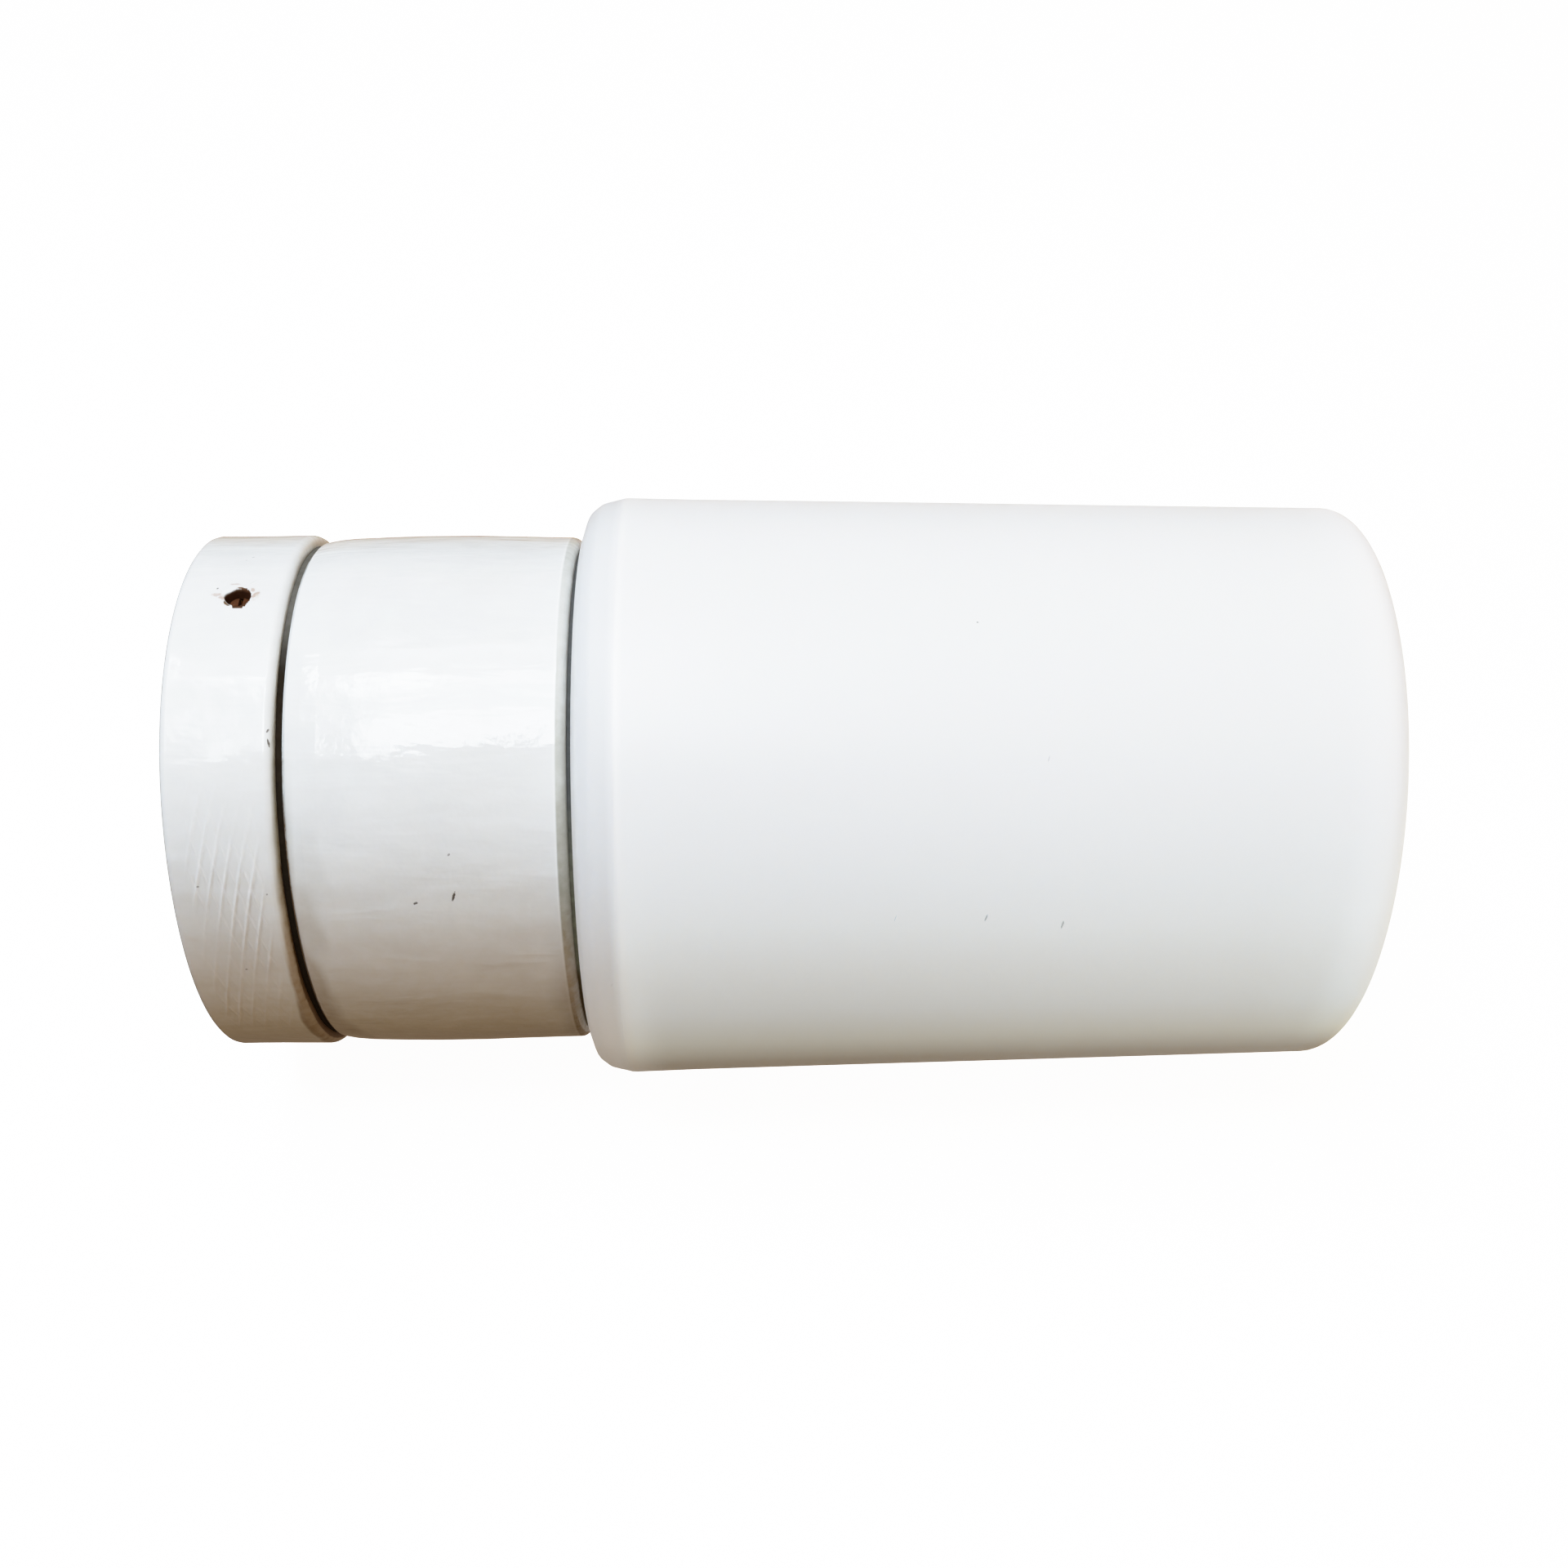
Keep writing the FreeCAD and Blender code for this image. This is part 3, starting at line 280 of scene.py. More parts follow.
def helix_ridge(name, root, crest, start, run, root_width, crest_width):
    """A rounded right-hand ridge with run-out ends, from radius root to radius crest."""
    embed, steps_per_turn, run_out = 0.4, 72, 30.0        # mm, count, degrees
    foot = root - math.copysign(embed, crest - root)
    profile = [(-root_width / 2, -1.0)]                   # offset along X, height; -1 is the foot
    for across in np.linspace(-1, 1, 13):
        height = 1 - abs(across) ** 2.6
        half = (crest_width + (root_width - crest_width) * (1 - height)) / 2
        profile.append((math.copysign(half, across) if abs(across) > 1e-9 else 0.0, height))
    profile.append((root_width / 2, -1.0))
    turns = run / THREAD_PITCH
    steps = int(steps_per_turn * turns) + 1
    verts = []
    for i in range(steps + 1):
        angle = TAU * turns * i / steps
        grow = min(1.0, min(i, steps - i) / steps * turns * 360.0 / run_out)
        grow = grow * grow * (3 - 2 * grow)
        for offset, height in profile:
            radius = foot if height < 0 else root + (crest - root) * height * max(grow, 0.02)
            x = start + THREAD_PITCH * angle / TAU + offset * (0.35 + 0.65 * grow)
            # starts on -Z and turns by the right-hand rule about +X
            verts.append((x * MM, radius * math.sin(angle) * MM, -radius * math.cos(angle) * MM))
    return make_object(name, verts, tube_faces(steps + 1, len(profile)))


def prism(name, outline, x_start, x_end):
    """A closed prism along X over a (y, z) outline in mm."""
    verts = [(x * MM, y * MM, z * MM) for x in (x_start, x_end) for y, z in outline]
    return make_object(name, verts, tube_faces(2, len(outline)), smooth=False)


def cut(obj, cutter):
    modifier = obj.modifiers.new("cut", "BOOLEAN")
    modifier.operation = "DIFFERENCE"
    modifier.solver = "EXACT"
    modifier.object = cutter
    bpy.context.view_layer.update()
    graph = bpy.context.evaluated_depsgraph_get()
    mesh = bpy.data.meshes.new_from_object(obj.evaluated_get(graph))
    obj.modifiers.clear()
    old = obj.data
    obj.data = mesh
    bpy.data.meshes.remove(old)
    bpy.data.objects.remove(cutter)


def set_attrs(obj, **attrs):
    """Writes each named value, one number or one per vertex, as a point attribute."""
    for name, values in attrs.items():
        column = np.empty(len(obj.data.vertices), np.float32)
        column[:] = values
        obj.data.attributes.new(name, "FLOAT", "POINT").data.foreach_set("value", column)


def coords(obj):
    """Station, radius (mm) and angle of every vertex."""
    places = np.zeros(len(obj.data.vertices) * 3)
    obj.data.vertices.foreach_get("co", places)
    x, y, z = places.reshape(-1, 3).T / MM
    return x, np.hypot(y, z), np.arctan2(-y, z)


# ------------------------------------------------------------------ node helpers
def scaled(color, factors):
    return tuple(np.multiply(color, factors))


def stations(reach, stops):
    """Ramp stops given by station in mm, for a ramp that covers 0 to reach mm."""
    return [(station / reach, value) for station, value in stops]


class Nodes:
    """Short calls for building a node tree. Any number or colour may be a socket instead."""

    def __init__(self, tree):
        self.tree = tree
        self.point = None                     # the place that textures read by default

    def feed(self, socket, value):
        if isinstance(value, bpy.types.Node):
            value = value.outputs[0]
        if isinstance(value, bpy.types.NodeSocket):
            self.tree.links.new(value, socket)
        elif socket.type == "RGBA":
            socket.default_value = (*value, 1)
        else:
            socket.default_value = value

    def fill(self, node, inputs):
        for name, value in inputs.items():
            self.feed(node.inputs[name.replace("_", " ")], value)

    def add(self, kind, *values, **named):
        """New node. Lower-case names are its settings, capitalised ones its inputs."""
        node = self.tree.nodes.new("ShaderNode" + kind)
        for name in [name for name in named if name.islower()]:
            setattr(node, name, named.pop(name))
        for socket, value in zip(node.inputs, values):
            self.feed(socket, value)
        self.fill(node, named)
        return node

    def math(self, operation, a, b=0.0, c=None, clamp=False):
        values = (a, b) if c is None else (a, b, c)
        return self.add("Math", *values, operation=operation, use_clamp=clamp).outputs[0]

    def times(self, first, *others):
        for other in others:
            first = self.math("MULTIPLY", first, other)
        return first

    def centred(self, noise, swing):
        """A 0 to 1 noise turned into -swing / 2 to swing / 2."""
        return self.math("MULTIPLY_ADD", noise, swing, -swing / 2)

    def vector(self, operation, a, b):
        node = self.add("VectorMath", a, b, operation=operation)
        return node.outputs["Value" if operation == "DOT_PRODUCT" else "Vector"]

    def xyz(self, vector):
        return self.add("SeparateXYZ", vector).outputs

    def stretched(self, scale):
        return self.add("Mapping", Vector=self.point, Scale=scale).outputs["Vector"]

    def noise(self, scale, detail=3.0, rough=0.5, warp=0.0, point=None):
        return self.add("TexNoise", Vector=point or self.point, Scale=scale, Detail=detail,
                        Roughness=rough, Distortion=warp).outputs["Fac"]

    def ramp(self, fac, stops):
        node = self.add("ValToRGB", fac)
        elements = node.color_ramp.elements
        while len(elements) < len(stops):
            elements.new(0.5)
        for i, (position, value) in enumerate(stops):
            color = (value,) * 3 if isinstance(value, (int, float)) else value
            elements[i].position = position
            elements[i].color = (*color, 1)
        return node.outputs["Color"]

    def fade(self, fac, start, end, low=0.0, high=1.0):
        return self.ramp(fac, [(start, low), (end, high)])

    def fall(self, fac, start, end):
        return self.fade(fac, start, end, low=1.0, high=0.0)

    def curve(self, value, stops, low=0.0, high=1.0, top=1.0):
        """Piecewise-linear in value between low and high, for results up to top."""
        span = high - low
        fac = self.math("MULTIPLY_ADD", value, 1 / span, -low / span, clamp=True)
        color = self.ramp(fac, [((place - low) / span, result / top) for place, result in stops])
        return self.times(color, top)

    def mix(self, fac, a, b, mode="MIX"):
        node = self.add("Mix", data_type="RGBA", blend_type=mode)
        for slot, value in ((0, fac), (6, a), (7, b)):
            self.feed(node.inputs[slot], value)
        return node.outputs[2]


class Material(Nodes):
    """A Principled material whose textures read object coordinates."""

    def __init__(self, name, **inputs):
        self.material = bpy.data.materials.new(name)
        self.material.use_nodes = True
        super().__init__(self.material.node_tree)
        self.point = self.add("TexCoord").outputs["Object"]
        self.surface(**inputs)

    def surface(self, **inputs):
        self.fill(self.tree.nodes["Principled BSDF"], inputs)
        return self.material

    def attr(self, name):
        return self.add("Attribute", attribute_name=name).outputs["Fac"]

    def height(self):
        """0 where the surface faces down, 1 where it faces up."""
        normal = self.add("NewGeometry").outputs["Normal"]
        return self.math("MULTIPLY_ADD", self.xyz(normal)["Z"], 0.5, 0.5, clamp=True)

    def grey(self, value):
        """A grey colour from a value, free to go above 1."""
        return self.add("CombineColor", value, value, value).outputs["Color"]

    def roughness(self, noise, limits):
        return self.fade(noise, 0.3, 0.7, *limits)

    def bumps(self, *layers):
        """Normal from (height, distance in m) layers, each laid over the one before."""
        below = {}
        for height, distance in layers:
            node = self.add("Bump", Strength=1.0, Distance=distance, Height=height, **below)
            below = {"Normal": node.outputs["Normal"]}
        return below["Normal"]

    def pinholes(self, scale, rare, size):
        """Points in a few Voronoi cells: rare is a cell colour fade, size a distance fade."""
        cells = self.add("TexVoronoi", Vector=self.point, Scale=scale).outputs
        sparse = self.fade(cells["Color"], *rare)
        return self.times(self.fall(cells["Distance"], *size), sparse)

    def marks(self, spots):
        """Mask of small crisp marks, with columns as in the spot tables."""
        wobble = self.centred(self.noise(2600, rough=0.6), 1.1)
        depth = 2.5 * MM
        total = None
        for station, radius, up, length, width, lean, strength in spots:
            sin, cos = math.sin(facing(up)), math.cos(facing(up))
            length, width = length * MM, width * MM
            centre = (station * MM, -radius * sin * MM, radius * cos * MM)
            offset = self.vector("SUBTRACT", self.point, centre)
            axes = ((1 / length, -cos * lean / length, -sin * lean / length),
                    (0.0, -cos / width, -sin / width),
                    (0.0, sin / depth, -cos / depth))
            parts = [self.vector("DOT_PRODUCT", offset, axis) for axis in axes]
            squares = [self.times(part, part) for part in parts]
            reach = self.math("ADD", self.math("ADD", squares[0], squares[1]), squares[2])
            reach = self.math("ADD", self.math("SQRT", reach), wobble)
            mark = self.times(self.fall(reach, 0.55, 1.0), strength)
            total = mark if total is None else self.math("MAXIMUM", total, mark)
        return total


# ------------------------------------------------------------------ marks on the surfaces
# Columns: station, radius, degrees up from the camera's side, half length along X,
# half width round the axis (all but the degrees in mm), lean, strength
RING_CHIPS = [
    (14.45, 50.4, 44.8, 0.66, 1.15, 0.5, 0.80), (13.75, 50.4, 46.4, 0.50, 0.75, -0.3, 0.70),
    (7.45, 50.4, 44.9, 1.25, 0.62, -0.5, 0.62), (8.6, 50.4, 43.9, 0.85, 0.60, -0.3, 0.70),
    (10.3, 50.4, 48.4, 1.2, 0.30, 0.2, 0.60), (11.9, 50.4, 42.9, 0.9, 0.22, 0.2, 0.45)]
RING_SPOTS = [
    (5.3, 50.3, -18.7, 0.26, 0.20, 0.3, 0.55), (10.9, 50.3, -39.1, 0.26, 0.24, 0.0, 0.6),
    (19.1, 50.0, 12.6, 0.22, 0.42, 0.3, 0.75), (19.25, 50.0, 10.2, 0.20, 0.85, -0.2, 0.85),
    (11.6, 50.4, 59.5, 0.34, 0.22, 0.5, 0.40), (10.6, 50.4, 58.0, 0.22, 0.16, 0.0, 0.30),
    (17.4, 50.2, -20.5, 0.20, 0.22, 0.0, 0.45), (7.25, 50.4, 47.0, 0.24, 0.36, 0.2, 0.72),
    (13.35, 50.4, 49.2, 0.10, 0.9, 0.9, 0.22), (4.6, 50.4, 100, 0.3, 0.3, 0.0, 0.6),
    (14.2, 50.4, 170, 0.35, 0.3, 0.4, 0.7), (8.1, 50.4, -110, 0.3, 0.25, 0.0, 0.6)]
BODY_SPOTS = [
    (43.55, 49.85, -23.0, 0.46, 0.36, 0.6, 0.90), (50.40, 49.8, -21.6, 0.30, 1.05, 0.30, 0.95),
    (50.1, 49.8, -12.6, 0.26, 0.34, 0.4, 0.52), (38.0, 49.8, 120, 0.35, 0.35, 0.0, 0.7),
    (57.0, 49.6, 175, 0.45, 0.3, 0.3, 0.75), (29.5, 49.7, -130, 0.3, 0.3, 0.0, 0.6),
    (64.0, 49.4, -95, 0.35, 0.3, 0.2, 0.6)]
SHADE_SPOTS = [
    (142.2, 54.7, 31.0, 0.24, 0.26, 0.0, 0.80), (153.6, 54.4, 5.0, 0.18, 0.80, 0.25, 0.45),
    (143.9, 54.6, -24.3, 0.27, 0.95, 0.25, 0.78), (157.3, 54.3, -26.0, 0.25, 1.05, 0.22, 0.78),
    (128.1, 55.0, -24.0, 0.17, 0.75, 0.25, 0.45), (78.05, 56.3, -38.0, 0.24, 0.55, 0.40, 0.62),
    (118.0, 55.3, 150, 0.4, 0.4, 0.0, 0.6), (176.0, 53.8, -140, 0.4, 0.3, 0.0, 0.5)]

# ------------------------------------------------------------------ porcelain
WHITE = (0.885, 0.888, 0.882)
# Mottling of the glaze. Columns: noise scale, detail, roughness, warp, drawn out along X,
# fade start and end, strength, factors on WHITE, undersides only
GLAZE_LAYERS = [
    (150, 5, 0.60, 0.4, False, 0.50, 0.78, 0.35, (0.90, 0.905, 0.925), False),     # blotches
    (62, 5, 0.62, 0.8, False, 0.44, 0.72, 0.55, (0.875, 0.872, 0.872), False),     # grey clouds
    (480, 4, 0.60, 0.0, True, 0.40, 0.66, 0.30, (0.925, 0.925, 0.93), False),      # veil
    (300, 5, 0.62, 0.6, False, 0.42, 0.62, 0.48, (0.885, 0.868, 0.815), True),     # mottle
    (120, 4, 0.60, 1.2, False, 0.46, 0.64, 0.32, (0.91, 0.905, 0.875), True),      # smears
    (620, 4, 0.60, 0.2, True, 0.52, 0.70, 0.40, (0.86, 0.85, 0.83), True)]         # runs
# The net's two line families. Columns: direction, gap fade, strength of the pale line,
# strength of the darker pool beside it
NET_FAMILIES = [(1.0, (0.34, 0.58), 0.62, 0.40), (-1.0, (0.42, 0.64), 0.46, 0.30)]


def paint_net(mat, base):
    """Pale lines and darker pooled glaze along the moulded net."""
    place = mat.xyz(mat.point)
    turn = mat.math("ARCTAN2", mat.times(place["Y"], -1.0), place["Z"])
    turn = mat.times(turn, NET_COUNT / TAU)
    along = mat.math("ADD", mat.times(place["X"], 1000.0 / NET_STEP),
                     mat.centred(mat.noise(230, rough=0.55), 0.50))
    gaps = mat.noise(330, rough=0.6)

    def line(phase, offset, core):
        """Line of core half width in mm, at an offset in net steps (0.5 is on the ridge)."""
        part = mat.math("FRACT", mat.math("ADD", phase, offset))
        part = mat.math("ABSOLUTE", mat.math("SUBTRACT", part, 0.5))
        return mat.fall(mat.times(part, NET_STEP), core, 0.46)

    for sign, kept, lift, sink in NET_FAMILIES:
        phase = mat.math("MULTIPLY_ADD", turn, sign, along)
        ridge = line(phase, offset=0.5, core=0.08)
        beside = line(phase, offset=0.32, core=0.05)
        alive = mat.times(mat.attr("pool"), mat.fade(gaps, *kept))
        base = mat.mix(mat.times(beside, alive, sink), base, scaled(WHITE, (0.80, 0.79, 0.77)))
        base = mat.mix(mat.times(ridge, alive, lift), base, (0.985, 0.98, 0.975))
    return base


def porcelain(name, wave, spots, chips=(), net=False, gloss=(0.055, 0.11)):
    """White glazed porcelain. wave is the height in m of the unevenness of the glaze."""
    mat = Material(name, IOR=1.54, Subsurface_Weight=0.06, Subsurface_Scale=1.0,
                   Subsurface_Radius=(0.0022, 0.0018, 0.0014))
    drawn = mat.stretched((0.28, 1.0, 1.0))       # glaze runs are drawn out along the axis
    base = mat.mix(mat.fade(mat.noise(55, detail=4, rough=0.55), 0.35, 0.68),
                   WHITE, scaled(WHITE, (0.955, 0.962, 0.972)))
    # the layers marked for the undersides only show where the surface faces down
    under = mat.fall(mat.height(), 0.44, 0.80)
    for (scale, detail, rough, warp, along_x, start, end, strength, factors,
         underneath) in GLAZE_LAYERS:
        noise = mat.noise(scale, detail, rough, warp, drawn if along_x else None)
        mask = mat.fade(noise, start, end)
        if underneath:
            mask = mat.times(mask, under)
        base = mat.mix(mat.times(mask, strength), base, scaled(WHITE, factors))
    # painted highlight: lighter where the line attribute is set, along the start of the body's rim
    # rounding
    base = mat.mix(mat.times(mat.attr("line"), 0.85), base, (0.965, 0.962, 0.955))
    if net:
        base = paint_net(mat, base)
    holes = mat.pinholes(330, rare=(0.945, 0.965), size=(0.05, 0.12))
    base = mat.mix(mat.times(holes, 0.38), base, (0.30, 0.26, 0.22))
    base = mat.mix(mat.marks(spots), base, (0.085, 0.060, 0.045))
    if chips:
        chipped = mat.mix(mat.noise(1800, rough=0.6), (0.38, 0.23, 0.17), (0.60, 0.46, 0.38))
        base = mat.mix(mat.marks(chips), base, chipped)

    # thin film of dust and painted shade, olive or tan, on the lips and rims beside the seams
    patchy = mat.fade(mat.noise(420, detail=4, rough=0.6, warp=0.3), 0.25, 0.65, low=0.75)
    film = mat.math("MULTIPLY", mat.attr("film"), patchy, clamp=True)
    tan = mat.mix(mat.noise(700, rough=0.6), (0.300, 0.205, 0.110), (0.420, 0.320, 0.200))
    base = mat.mix(film, base, mat.mix(mat.attr("tan"), (0.315, 0.300, 0.225), tan))
    # thick brown grime and painted shade at the seams and in the holes, with a ragged edge
    ragged = mat.math("SUBTRACT", mat.noise(420, detail=5, rough=0.68, warp=0.4), 0.5)
    level = mat.math("MULTIPLY_ADD", mat.attr("grime"), 1.9, -0.55)
    grime = mat.times(mat.fade(mat.math("MULTIPLY_ADD", ragged, 1.7, level), 0.05, 0.62),
                      mat.fade(mat.attr("grime"), 0.02, 0.14))
    brown = mat.mix(mat.noise(900, rough=0.6), (0.095, 0.045, 0.016), (0.200, 0.115, 0.050))
    base = mat.mix(grime, base, brown)
    # painted shade: very dark rust-brown on the walls of the set-screw holes
    dark = mat.mix(mat.noise(1100, rough=0.6), (0.030, 0.009, 0.003), (0.085, 0.026, 0.007))
    base = mat.mix(mat.attr("deep"), base, dark)
    bare = mat.attr("bare")
    unglazed = mat.mix(mat.noise(1500, detail=4, rough=0.7),
                       (0.42, 0.36, 0.30), (0.70, 0.66, 0.60))
    base = mat.mix(bare, base, unglazed)

    rough = mat.roughness(mat.noise(90), gloss)
    rough = mat.mix(grime, rough, (0.62, 0.62, 0.62))
    rough = mat.mix(bare, rough, (0.75, 0.75, 0.75))
    normal = mat.bumps((mat.noise(70, detail=2, rough=0.45), wave),
                       (mat.noise(150, warp=0.4, point=drawn), wave * 0.85),
                       (mat.noise(300), wave * 0.20),
                       (mat.noise(1500, detail=2), wave * 0.014))
    return mat.surface(Base_Color=base, Roughness=rough, Normal=normal)


# ------------------------------------------------------------------ opal glass
# Painted glow standing in for light carried inside the milky wall, by height from facing down (0)
# to facing up (1)
PAINTED_OPAL_GLOW = [
    (0.0, (0.01, 0.012, 0.012)), (0.30, (0.03, 0.035, 0.03)), (0.40, (0.15, 0.175, 0.165)),
    (0.50, (0.18, 0.222, 0.245)), (0.68, (0.215, 0.243, 0.262)), (0.86, (0.165, 0.165, 0.180)),
    (1.0, (0.150, 0.135, 0.135))]
# Strength of the painted glow by station in mm
PAINTED_GLOW_SPAN = [(73.5, 0.05), (78.5, 0.20), (80.1, 0.85), (81.75, 1.0), (192.5, 1.0),
             (205.0, 1.15), (216.0, 2.1)]
# Extra painted glow near the shoulder: by station in mm, and by height
SHOULDER_GLOW_SPAN = [(77.5, 1.0), (80.0, 0.60), (83.5, 0.24), (87.0, 0.0)]
PAINTED_SHOULDER_GLOW = [(0.25, 0.15), (0.42, 0.165), (0.49, 0.125), (0.57, 0.07), (0.64, 0.05),
                 (0.72, 0.025), (0.82, 0.0)]


def opal():
    """Flashed opal glass: dense white body, soft sheen, very faint streaks and seeds."""
    weight = 0.85
    mat = Material("opal_glass_look", IOR=1.5, Subsurface_Weight=weight, Subsurface_Scale=1.0,
                   Subsurface_Radius=(0.010, 0.0095, 0.0088))
    streak = mat.stretched((0.25, 1.0, 1.0))
    cloud = mat.fade(mat.noise(26, detail=4, warp=0.6, point=streak), 0.36, 0.66)
    base = mat.mix(cloud, (0.905, 0.915, 0.925), (0.885, 0.900, 0.905))
    seeds = mat.pinholes(210, rare=(0.965, 0.975), size=(0.03, 0.07))
    base = mat.mix(mat.times(seeds, 0.22), base, (0.45, 0.44, 0.42))
    base = mat.mix(mat.marks(SHADE_SPOTS), base, (0.20, 0.19, 0.17))

    # the shoulder on the -X side of the crease is greyer, as dust and painted shade, and the
    # crease gets a painted highlight line
    along = mat.xyz(mat.point)["X"]
    uneven = mat.centred(mat.noise(60, detail=2, rough=0.4, point=streak), 0.0006)
    crease = mat.times(mat.math("ADD", along, uneven), 10.0)            # 0 to 1 over 100 mm
    dusty_shaded_side = mat.ramp(crease, stations(100, [(77.6, 0.85), (79.7, 0.85), (80.0, 0.0)]))
    base = mat.mix(dusty_shaded_side, base, (0.832, 0.832, 0.855))
    # painted highlight along the crease
    pale = mat.ramp(crease, stations(100, [(79.7, 0.0), (80.1, 0.85), (80.6, 0.85),
                                           (81.2, 0.0)]))
    base = mat.mix(pale, base, (0.955, 0.955, 0.955))
    # specks sit on the skin of the glass, so light doesn't spread under them
    skin = mat.math("MAXIMUM", mat.marks(SHADE_SPOTS), mat.times(pale, 0.55))

    # painted glow: emission by height and station stands in for light through the milky wall
    height = mat.height()
    painted_glow = mat.ramp(height, PAINTED_OPAL_GLOW)
    near_neck = mat.ramp(mat.times(along, 5.0), stations(200, SHOULDER_GLOW_SPAN))
    lift = mat.times(near_neck, mat.ramp(height, PAINTED_SHOULDER_GLOW))
    span = mat.ramp(mat.times(along, 2.0), stations(500, PAINTED_GLOW_SPAN))
    span = mat.times(span, 1.0)                                         # overall strength
    painted_wall_glow = mat.mix(1.0, painted_glow, mat.grey(span), "MULTIPLY")
    painted_warm_shoulder_glow = mat.mix(1.0, mat.grey(lift), (1.0, 0.985, 0.93), "MULTIPLY")
    return mat.surface(
        Base_Color=base,
        Subsurface_Weight=mat.math("MULTIPLY_ADD", skin, -weight, weight),
        Emission_Color=mat.mix(1.0, painted_wall_glow, painted_warm_shoulder_glow, "ADD"),
        Emission_Strength=1.0,
        Roughness=mat.roughness(mat.noise(40, detail=4, rough=0.55, warp=0.2), (0.30, 0.37)),
        Normal=mat.bumps((mat.noise(22, detail=2, rough=0.4), 0.00018),
                         (mat.noise(420), 0.0000035)))


# ------------------------------------------------------------------ other materials
def metal(name, light, dark, rough=(0.28, 0.5), scale=300, rust=None):
    """Metal with a patina between two colours, and rust patches if a rust colour is given."""
    mat = Material(name, Metallic=1.0)
    patina = mat.fade(mat.noise(scale, detail=5, rough=0.6, warp=0.3), 0.35, 0.68)
    base = mat.mix(patina, light, dark)
    roughness = mat.roughness(mat.noise(scale * 1.7, detail=4, rough=0.6), rough)
    if rust:
        mask = mat.fade(mat.noise(scale * 0.9, detail=6, rough=0.7, warp=0.5), 0.26, 0.412)
        rusty = mat.mix(mat.noise(scale * 3, detail=4, rough=0.7), rust, scaled(rust, 0.35))
        base = mat.mix(mask, base, rusty)
        roughness = mat.mix(mask, roughness, (0.9, 0.9, 0.9))
        mat.surface(Metallic=mat.math("SUBTRACT", 1.0, mask))
        grain = (mat.noise(scale * 3, detail=6, rough=0.7), 0.00012)
    else:
        grain = (mat.noise(scale * 4, rough=0.6), 0.00002)
    return mat.surface(Base_Color=base, Roughness=roughness, Normal=mat.bumps(grain))


def plain(name, light, dark, rough=(0.5, 0.75), scale=220, bump=0.00003, specular=0.5,
          subsurface=0.0):
    """Non-metal mottled between two colours."""
    mat = Material(name, Subsurface_Weight=subsurface, Specular_IOR_Level=specular)
    mottle = mat.fade(mat.noise(scale, detail=5, rough=0.6, warp=0.2), 0.34, 0.66)
    return mat.surface(
        Base_Color=mat.mix(mottle, light, dark),
        Roughness=mat.roughness(mat.noise(scale * 1.5, detail=4, rough=0.6), rough),
        Normal=mat.bumps((mat.noise(scale * 3, detail=4, rough=0.6), bump)))


def clear_glass():
    tint = (0.97, 0.98, 0.98)
    mat = Material("clear_glass_look", IOR=1.5, Transmission_Weight=1.0)
    return mat.surface(Base_Color=mat.mix(mat.noise(60), tint, scaled(tint, 0.97)),
                       Roughness=mat.roughness(mat.noise(120), (0.02, 0.044)),
                       Normal=mat.bumps((mat.noise(60, detail=2), 0.00006)))


def old_rubber(name, top, low, split, dark_run=None):
    """Perished rubber in two colours, as painted light and shade by angle: top above, low
    underneath.
    split is (first, full) as cosines about 50 degrees below the camera's side. A short dark run
    can be put into it: degrees up, and (first, full) as cosines about that angle."""
    mat = Material(name, Specular_IOR_Level=0.2)
    flat = mat.vector("MULTIPLY", mat.point, (0.0, 1.0, 1.0))
    outward = mat.add("VectorMath", flat, operation="NORMALIZE").outputs["Vector"]
    mottle = mat.fade(mat.noise(500, detail=5, rough=0.6, warp=0.2), 0.34, 0.66)

    def toward(up):
        direction = (0.0, -math.sin(facing(up)), math.cos(facing(up)))
        return mat.vector("DOT_PRODUCT", outward, direction)

    upper = mat.mix(mottle, top, scaled(top, 0.72))
    lower = mat.mix(mottle, low, scaled(low, 0.68))
    # painted light and shade: the top colour above, the low colour below, by angle to the camera's
    # side
    base = mat.mix(mat.fade(toward(-50.0), *split), upper, lower)
    if dark_run:
        up, limits = dark_run
        reach = mat.math("MULTIPLY_ADD", mat.noise(260, rough=0.6), 0.012, toward(up))
        base = mat.mix(mat.fade(reach, *limits), base, (0.085, 0.056, 0.020))
    return mat.surface(
        Base_Color=base,
        Roughness=mat.roughness(mat.noise(700, detail=4, rough=0.6), (0.7, 0.95)),
        Normal=mat.bumps((mat.noise(1500, detail=4, rough=0.6), 0.00006)))


